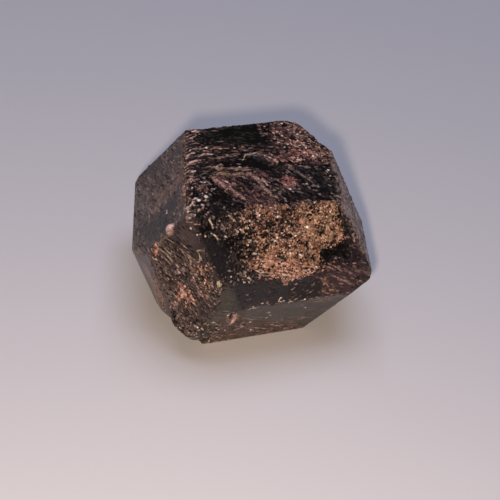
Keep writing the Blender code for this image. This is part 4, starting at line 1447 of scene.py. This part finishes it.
@dataclass(frozen=True)
class MineralFinish:
    """A mineral surface: its mesh's own colours under fine flecks, and a matching grain.

    `index` is the mineral's refractive index, and `glance` the shader's level of mirror
    light, 0.5 for a polished stone. `fleck_mm` is the width of the finest flecks and `fleck`
    how much they darken or lighten. `grain_mm` and `grain_depth_mm` are the width and depth
    of the relief that is too fine for the mesh. `swing` is how much rougher the lightest
    flecks are than the darkest.
    """
    name: str
    index: float
    fleck_mm: float
    fleck: float
    grain_mm: float
    grain_depth_mm: float
    glance: float = 0.5
    swing: float = 0.24

    def material(self) -> bpy.types.Material:
        """The material, made of nodes that read Object coordinates and attributes.

        Returns:
            The material.
        """
        material = bpy.data.materials.new(self.name)
        material.use_nodes = True
        tree = material.node_tree
        tree.nodes.clear()
        place = add_node(tree, "ShaderNodeTexCoord")
        tint = add_node(tree, "ShaderNodeAttribute", {"attribute_name": "tint"})
        dull = add_node(tree, "ShaderNodeAttribute", {"attribute_name": "dull"})
        flecks = add_node(tree, "ShaderNodeTexNoise", {},
                          {"Vector": place.outputs["Object"], "Scale": per_metre(self.fleck_mm),
                           "Detail": 3.0, "Roughness": 0.6})
        darker = add_node(tree, "ShaderNodeMapRange", {},
                          {"Value": flecks.outputs["Fac"], "From Min": 0.3, "From Max": 0.7,
                           "To Min": 1.0 - self.fleck, "To Max": 1.0 + self.fleck})
        colour = add_node(tree, "ShaderNodeVectorMath", {"operation": "SCALE"},
                          {0: tint.outputs["Color"], "Scale": darker.outputs["Result"]})
        rough = add_node(tree, "ShaderNodeMath", {"operation": "MULTIPLY_ADD"},
                         {0: flecks.outputs["Fac"], 1: self.swing, 2: dull.outputs["Fac"]})
        rougher = add_node(tree, "ShaderNodeMath", {"operation": "SUBTRACT", "use_clamp": True},
                           {0: rough.outputs[0], 1: 0.5 * self.swing})
        grain = add_node(tree, "ShaderNodeTexNoise", {},
                         {"Vector": place.outputs["Object"], "Scale": per_metre(self.grain_mm),
                          "Detail": 4.0, "Roughness": 0.65})
        bump = add_node(tree, "ShaderNodeBump", {},
                        {"Height": grain.outputs["Fac"], "Distance": self.grain_depth_mm * MM,
                         "Strength": 1.0})
        shader = add_node(tree, "ShaderNodeBsdfPrincipled", {},
                          {"Base Color": colour.outputs[0], "Roughness": rougher.outputs[0],
                           "IOR": self.index, "Specular IOR Level": self.glance,
                           "Normal": bump.outputs["Normal"]})
        add_node(tree, "ShaderNodeOutputMaterial", {}, {"Surface": shader.outputs["BSDF"]})
        return material


# Almandine breaks with a resinous gloss over near-black red-brown, scratched dull.
ALMANDINE = MineralFinish("almandine_garnet", 1.50, 0.26, 0.60, 0.35, 0.010)
# The same garnet dulled by fine cracks, which swallow part of its glance.
WEATHERED = MineralFinish("weathered_almandine", 1.50, 0.22, 0.55, 0.30, 0.010, 0.28)
# Weathered mica and quartz grains: matt golden tan, each grain its own shade.
CRUST_FINISH = MineralFinish("weathered_mica_crust", 1.45, 0.20, 0.55, 0.18, 0.015, 0.22)
# Pinkish muscovite schist: dull silk between dark gaps.
SCHIST = MineralFinish("pink_mica_schist", 1.45, 0.20, 0.55, 0.18, 0.010, 0.15)


# ------------------------------------------------------------------------------ garnet

@dataclass(frozen=True)
class GarnetLook:
    """Almandine garnet's own colours and roughness, face by face, before any coat lies on it.

    The front bevel reddens from `red_start` along it over `red_length`. The low front face
    browns from `rim_start` up it over `rim_length` down to its rim. The crust's hollow takes
    `hollow`, painted shade over the garnet's own near-black.
    """
    deep: tuple[str, ...] = ("080606", "0F0B0B", "1A1312")
    green_black: str = "10120F"
    blue_black: str = "131417"
    maroon: str = "3A2324"
    slate: str = "2B272A"
    worn_left: str = "523D34"
    left_brown: str = "4A3F3D"
    worn_under: str = "51453F"
    brown_rim: str = "4E362A"
    worn_right: str = "9A8981"
    worn_bevel: str = "60524B"
    stain: str = "9A7860"
    salmon: str = "B98474"
    # Painted shade in the crust's hollow, over the garnet's own near-black.
    hollow: str = "080707"
    smooth_black: str = "201D20"
    facet: str = "2A2123"
    red_start: float = 4.0
    red_length: float = 6.0
    rim_start: float = -3.6
    rim_length: float = 2.6
    plain_roughness: float = 0.34
    roughness_swing: float = 0.08

    def roughness(self, points: np.ndarray) -> np.ndarray:
        """Roughness of the bare garnet, which swings in patches about a millimetre wide."""
        return self.plain_roughness + self.roughness_swing * Noise(57).rough(points, 1.2)

    def tint(self, points: np.ndarray) -> np.ndarray:
        """Linear colour of the bare garnet: deep garnet, then each face's own cast.

        Args:
            points: Rows in millimetres from the centre.

        Returns:
            Rows of linear colour.
        """
        cloud = 0.5 + 0.5 * Noise(51).rough(points, 2.6)
        colours = palette(cloud, self.deep)
        cover = {face: FORM.cover(points, face) for face in Face}
        speck = 0.5 + 0.5 * Noise(53).rough(points, 0.55, 2)
        for face, cast, amount in (
                (Face.LEFT_SLOPE, self.worn_left, 0.80),
                (Face.LEFT_WALL, self.left_brown, 0.70),
                (Face.FRONT_UNDER, self.worn_under, 0.75),
                (Face.RIGHT_SLOPE, self.worn_right, 0.90),
                (Face.LEFT_BEVEL, self.worn_bevel, 0.85),
                (Face.FRONT_BEVEL, self.slate, 0.80),
                (Face.LEFT_UNDER, self.worn_left, 0.60),
                (Face.BACK_SLOPE, self.slate, 0.60),
                (Face.BACK_UNDER, self.maroon, 0.35),
                (Face.RIGHT_UNDER, self.slate, 0.50),
                (Face.RIGHT_BEVEL, self.worn_right, 0.50)):
            share = cover[face] * amount * (0.75 + 0.25 * speck)
            colours = blend(colours, linear(cast), share)
        along = FORM.charts[Face.FRONT_BEVEL].read(points)[0]
        red = smooth((along - self.red_start) / self.red_length) * cover[Face.FRONT_BEVEL]
        colours = blend(colours, linear(self.maroon), 0.8 * red)
        up = FORM.charts[Face.FRONT_UNDER].read(points)[1]
        rim = smooth((self.rim_start - up) / self.rim_length) * cover[Face.FRONT_UNDER]
        colours = blend(colours, linear(self.brown_rim), rim * (0.4 + 0.6 * cloud))
        # The hollow takes painted shade; the other zones take their own casts.
        for zone, cast in ((SMOOTH_BACK, self.green_black), (DARK_LENS, self.green_black),
                           (DARK_RIGHT, self.blue_black), (SHADED_HOLLOW, self.hollow),
                           (SMOOTH_FRONT, self.smooth_black), (RIGHT_FACET, self.facet),
                           (LEFT_STAIN, self.stain)):
            colours = blend(colours, linear(cast), 0.9 * np.clip(zone.share(points), 0, 1))
        return blend(colours, linear(self.salmon), KNOB.share(points))


GARNET = GarnetLook()


@dataclass(frozen=True)
class Coat:
    """A closed shell of finer surface over one face, with other minerals on the garnet.

    Its outer side is the garnet's own surface, met by rays through a window of the face's
    chart, plus the layers. Its rim and its inner side lie inside the garnet, which is a
    little lower wherever a coat covers it. `window` is the left, right, low and high end of
    the window, `cell` the spacing of the rays, `pits` the depth of the finest pits, `sink`
    how far the rim dives, over `rim` from the window's edge, and `core` how deep under the
    face the shell closes.
    """
    name: str
    face: Face
    window: tuple[float, float, float, float]
    layers: tuple[Layer | Mark, ...]
    finish: MineralFinish
    cell: float = 0.10
    pits: float = 0.04
    sink: float = 0.45
    rim: float = 0.8
    core: float = 3.0

    def inside(self, rays: np.ndarray) -> np.ndarray:
        """How far inside the window's rim rays from the centre pass the face's plane.

        Args:
            rays: Unit rows. One that barely faces the plane counts as outside.

        Returns:
            Millimetres for each ray, negative outside.
        """
        chart = FORM.charts[self.face]
        left, right, low, high = self.window
        facing = rays @ chart.normal
        barely = 0.05
        reach = chart.distance / np.maximum(facing, barely)
        along, up = rays @ chart.along * reach, rays @ chart.up * reach
        inside = np.minimum(np.minimum(along - left, right - along),
                            np.minimum(up - low, high - up))
        return np.where(facing > barely, inside, -1.0)

    def layered(self, points: np.ndarray) -> tuple[np.ndarray, np.ndarray, np.ndarray]:
        """Everything that lies on the face, laid in order over the garnet and its pits.

        Args:
            points: Rows in millimetres from the centre.

        Returns:
            Height over the garnet's surface, linear colour and roughness.
        """
        height = self.pits * (Noise(61).rough(points, 0.6) - 0.3)
        colours = GARNET.tint(points)
        roughness = GARNET.roughness(points)
        for layer in self.layers:
            layer.lay(points, height, colours, roughness)
        return height, colours, roughness

    def build(self) -> bpy.types.Object:
        """The shell: a grid over the window, closed by a fan to a point in the garnet.

        Returns:
            The shell's object.
        """
        left, right, low, high = self.window
        columns = int((right - left) / self.cell)
        rows = int((high - low) / self.cell)
        along, up = np.meshgrid(np.linspace(left, right, columns + 1),
                                np.linspace(low, high, rows + 1), indexing="ij")
        chart = FORM.charts[self.face]
        rays = unit(chart.place(along, up).reshape(-1, 3))
        points, outward = surface(rays)
        height, colours, roughness = self.layered(points)
        height = (height + self.sink) * smooth(self.inside(rays) / self.rim) - self.sink
        points = points + outward * height[:, None]
        numbers = np.arange(len(points)).reshape(along.shape)
        rim = np.concatenate((numbers[:-1, 0], numbers[-1, :-1], numbers[:0:-1, -1],
                              numbers[0, :0:-1]))
        middle = chart.place((left + right) / 2.0, (low + high) / 2.0) - self.core * chart.normal
        points = np.vstack((points, middle))
        colours = np.vstack((colours, colours[:1]))
        roughness = np.append(roughness, roughness[0])
        fan = np.column_stack((np.roll(rim, -1), rim, np.full(len(rim), len(points) - 1)))
        faces = [grid_faces(numbers), fan]
        return make_piece(self.name, points, faces, colours, roughness)


# Areas and layers of the faces behind, where the coats are few and plain.
BACK_LOWER = Zone(Face.BACK_SLOPE, ((-9.6, 2.8), (6.2, 2.8), (11.0, -11.4), (-3.0, -13.0)))
BACK_SCAB = Zone(Face.BACK_SLOPE, ((-4.6, 1.6), (3.4, 1.8), (4.0, -3.8), (-0.8, -5.4)))
WALL_SCAB = Zone(Face.BACK_WALL, ((-4.6, -3.0), (3.0, 5.2), (7.2, -3.6), (1.0, -9.4)),
                 fade=1.4, wear=0.9)
WALL_ALL = Zone(Face.BACK_WALL, ((-6.0, -3.6), (4.4, 11.6), (12.0, 0.6), (4.0, -11.6)),
                fade=2.0)
UNDER_SCAB = Zone(Face.RIGHT_UNDER, ((0.4, 6.0), (8.0, 6.6), (11.6, 0.2), (3.0, -2.4)))
UNDER_ALL = Zone(Face.RIGHT_UNDER, ((-4.4, 8.0), (9.0, 8.0), (15.4, -3.6), (0.0, -3.6)))

BACK_LAYERS = (
    Grit(401, 0.36, DUSK, (thin(BACK_LOWER, 0.6),), (), 0.10),
    Grit(402, 0.46, PLUM, (thin(BACK_SCAB, 0.7), thin(BACK_LOWER, 0.2)), (), 0.2, 2.4, 12.0),
    Grit(403, 0.40, PINK, (thin(BACK_SCAB, 0.3),), (), 0.18),
)
WALL_LAYERS = (
    Grit(501, 0.36, DUSK, (thin(WALL_ALL, 0.6),), (), 0.10),
    Grit(502, 0.50, TAN, (thin(WALL_SCAB, 0.85), thin(WALL_ALL, 0.25)), (), 0.24),
    Grit(503, 0.34, TAN, (thin(WALL_SCAB, 0.5),), (), 0.14),
)
RIGHT_LAYERS = (
    Grit(601, 0.36, DUSK, (thin(UNDER_ALL, 0.6),), (), 0.10),
    Grit(602, 0.44, RUST, (thin(UNDER_SCAB, 0.6),), (), 0.2, 2.0, -20.0),
    Hairs(603, 1.2, PINK, (thin(UNDER_ALL, 0.4),), (), 0.10, 5.0, -20.0),
)

COATS = (
    Coat("bevel_weathering", Face.FRONT_BEVEL, (-12.4, 16.4, -2.4, 5.6), BEVEL_LAYERS, WEATHERED,
         cell=0.085, pits=0.02),
    Coat("left_weathering", Face.LEFT_SLOPE, (-20.6, 12.4, -10.6, 6.6), SLOPE_LAYERS, WEATHERED,
         cell=0.105, pits=0.03),
    Coat("front_weathering", Face.FRONT_UNDER, (-14.0, 13.4, -7.6, 7.2), UNDER_LAYERS, WEATHERED,
         cell=0.09, pits=0.02),
    Coat("right_weathering_and_highlight", Face.RIGHT_SLOPE, (-8.8, 10.6, -7.8, 6.0), SIDE_LAYERS, WEATHERED,
         cell=0.12, pits=0.03),
    Coat("tan_crust", Face.FRONT_SLOPE, (-15.4, 14.6, -5.0, 10.4), FRONT_LAYERS, CRUST_FINISH,
         cell=0.072),
    Coat("top_mica", Face.TOP, (-17.2, 17.6, -10.4, 19.6), TOP_LAYERS, SCHIST, cell=0.105),
    Coat("left_mica", Face.LEFT_WALL, (-11.2, 6.8, -8.6, 15.4), LEFT_LAYERS, SCHIST, cell=0.08),
    Coat("back_mica", Face.BACK_SLOPE, (-11.0, 12.0, -14.4, 4.0), BACK_LAYERS, SCHIST,
         cell=0.13),
    Coat("back_crust", Face.BACK_WALL, (-8.6, 13.8, -13.4, 13.8), WALL_LAYERS, CRUST_FINISH,
         cell=0.13),
    Coat("right_mica", Face.RIGHT_UNDER, (-5.6, 17.0, -5.0, 9.2), RIGHT_LAYERS, SCHIST,
         cell=0.13),
)


@dataclass(frozen=True)
class GarnetSurface:
    """The garnet itself: one closed surface met by a cube's worth of rays.

    Each side of the cube is a grid of rays at equal angles, so that the cells are near one
    size, and the six grids share their rims. `cells` is the number along each side, and
    `lowered` how far the surface sinks under a coat, from `inset` within the coat's window.
    """
    name: str = "garnet_surface"
    cells: int = 128
    lowered: float = 0.50
    inset: float = 1.0

    def rays(self) -> tuple[np.ndarray, np.ndarray]:
        """Ray directions, and the corner numbers of the cells between them.

        A ray is side + tan(u) * right + tan(v) * top, with u and v from -45 to 45 degrees.

        Returns:
            Unit rows, and four row numbers for each cell.
        """
        angle = np.tan(np.linspace(-math.pi / 4.0, math.pi / 4.0, self.cells + 1))
        right, top = np.meshgrid(angle, angle, indexing="ij")
        level = np.cross((0.0, 0.0, 1.0), FORM.zone)
        axes = (FORM.zone, level, np.array((0.0, 0.0, 1.0)))
        rays = []
        for number in range(3):
            first, second = axes[(number + 1) % 3], axes[(number + 2) % 3]
            for sign in (1.0, -1.0):
                side = (sign * axes[number] + np.multiply.outer(right, first)
                        + np.multiply.outer(top * sign, second))
                rays.append(unit(side).reshape(-1, 3))
        rays = np.concatenate(rays)
        # Rays on a rim that two sides share become one.
        keys = np.round(rays * 1e5).astype(np.int64)
        _, kept, numbers = np.unique(keys, axis=0, return_index=True, return_inverse=True)
        numbers = numbers.reshape(6, self.cells + 1, self.cells + 1)
        return rays[kept], np.concatenate([grid_faces(side) for side in numbers])

    def build(self) -> bpy.types.Object:
        """The finished surface, lower where a coat covers it and level at its base.

        Returns:
            The surface's object.
        """
        rays, cells = self.rays()
        points, outward = surface(rays)
        covered = np.max([smooth(coat.inside(rays) - self.inset) for coat in COATS], axis=0)
        colours = GARNET.tint(points)
        points = points - outward * (self.lowered * covered)[:, None]
        points[:, 2] = np.maximum(points[:, 2], -Face.BASE.distance)
        return make_piece(self.name, points, [cells], colours, GARNET.roughness(points))


# ------------------------------------------------------------------------------ stage

@dataclass(frozen=True)
class Lamp:
    """A square soft light that points at the crystal.

    `azimuth` is in degrees from the front, positive to the right, `elevation` in degrees
    above the floor, `distance` and the width `size` in millimetres, and `colour` in hex.
    """
    name: str
    azimuth: float
    elevation: float
    distance: float
    size: float
    watts: float
    colour: str

    def build(self) -> bpy.types.Object:
        """The light in its place.

        Returns:
            The light's object.
        """
        data = bpy.data.lights.new(self.name, "AREA")
        data.size = self.size * MM
        data.energy = self.watts
        data.color = linear(self.colour)
        light = put(self.name, data)
        turn, lift = math.radians(self.azimuth), math.radians(self.elevation)
        way = Vector((math.sin(turn) * math.cos(lift), -math.cos(turn) * math.cos(lift),
                      math.sin(lift)))
        light.location = (Vector(CENTRE) + way * self.distance) * MM
        light.rotation_euler = way.to_track_quat("Z", "Y").to_euler()
        return light


@dataclass(frozen=True)
class Studio:
    """The camera, the pale floor, the lights and a dim even world.

    Its angles are in radians and its lengths in millimetres.
    """
    elevation: float = math.radians(33.43)
    roll: float = math.radians(7.22)
    distance: float = 235.9
    lens: float = 99.93
    sensor: float = 36.0
    floor_half: float = 1200.0
    card: str = "D8D5D3"
    card_roughness: float = 0.85
    sky: str = "C9CBD6"
    sky_strength: float = 0.05
    lamps: tuple[Lamp, ...] = (
        Lamp("warm_key", -1.8, 30.2, 232.0, 9.0, 0.41, "FFE9D8"),
        Lamp("cool_ceiling", 175.0, 85.0, 1000.0, 820.0, 5.6, "DCE1FF"),
    )

    def camera(self) -> None:
        """Places a close-up camera in front, above, and turned a little about its own axis."""
        data = bpy.data.cameras.new("camera")
        data.lens = self.lens
        data.sensor_width = self.sensor
        data.clip_start = 0.01
        camera = put("camera", data)
        back = Vector((0.0, -math.cos(self.elevation), math.sin(self.elevation)))
        up = Vector((0.0, math.sin(self.elevation), math.cos(self.elevation)))
        right = up.cross(back)
        turn = Matrix.Rotation(self.roll, 4, back)
        axes = [turn @ axis for axis in (right, up, back)]
        matrix = Matrix([[axis[row] for axis in axes] for row in range(3)]).to_4x4()
        matrix.translation = (Vector(CENTRE) + back * self.distance) * MM
        camera.matrix_world = matrix
        bpy.context.scene.camera = camera

    def floor(self) -> None:
        """Lays a sheet of matt white card, which shows soft shadows, under the crystal."""
        half = self.floor_half * MM
        mesh = bpy.data.meshes.new("floor")
        mesh.from_pydata([(-half, -half, 0.0), (half, -half, 0.0), (half, half, 0.0),
                          (-half, half, 0.0)], [], [(0, 1, 2, 3)])
        material = bpy.data.materials.new("matt_white_card")
        material.use_nodes = True
        shader = material.node_tree.nodes["Principled BSDF"]
        shader.inputs["Base Color"].default_value = (*linear(self.card), 1.0)
        shader.inputs["Roughness"].default_value = self.card_roughness
        mesh.materials.append(material)
        floor = put("floor", mesh)

    def world(self) -> None:
        """Sets the even light of the room."""
        world = bpy.data.worlds.new("studio")
        world.use_nodes = True
        sky = world.node_tree.nodes["Background"]
        sky.inputs["Color"].default_value = (*linear(self.sky), 1.0)
        sky.inputs["Strength"].default_value = self.sky_strength
        bpy.context.scene.world = world

    def build(self) -> None:
        """Places everything, and shows colours as they are."""
        self.camera()
        self.floor()
        for lamp in self.lamps:
            lamp.build()
        self.world()
        bpy.context.scene.view_settings.view_transform = "Standard"


def dress(piece: bpy.types.Object, material: bpy.types.Material) -> None:
    """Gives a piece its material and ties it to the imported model.

    Args:
        piece: The piece's object.
        material: What it is made of.
    """
    piece.data.materials.append(material)
    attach(piece, BODY)
    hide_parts(NODE)
    LOG.info("%s: %d faces", piece.name, len(piece.data.polygons))


def main() -> None:
    """Builds the stage, the garnet and its coats."""
    logging.basicConfig(level=logging.INFO, format="%(message)s")
    Studio().build()
    materials = {finish: finish.material()
                 for finish in (ALMANDINE, WEATHERED, CRUST_FINISH, SCHIST)}
    dress(GarnetSurface().build(), materials[ALMANDINE])
    for coat in COATS:
        dress(coat.build(), materials[coat.finish])


if __name__ == "__main__":
    main()
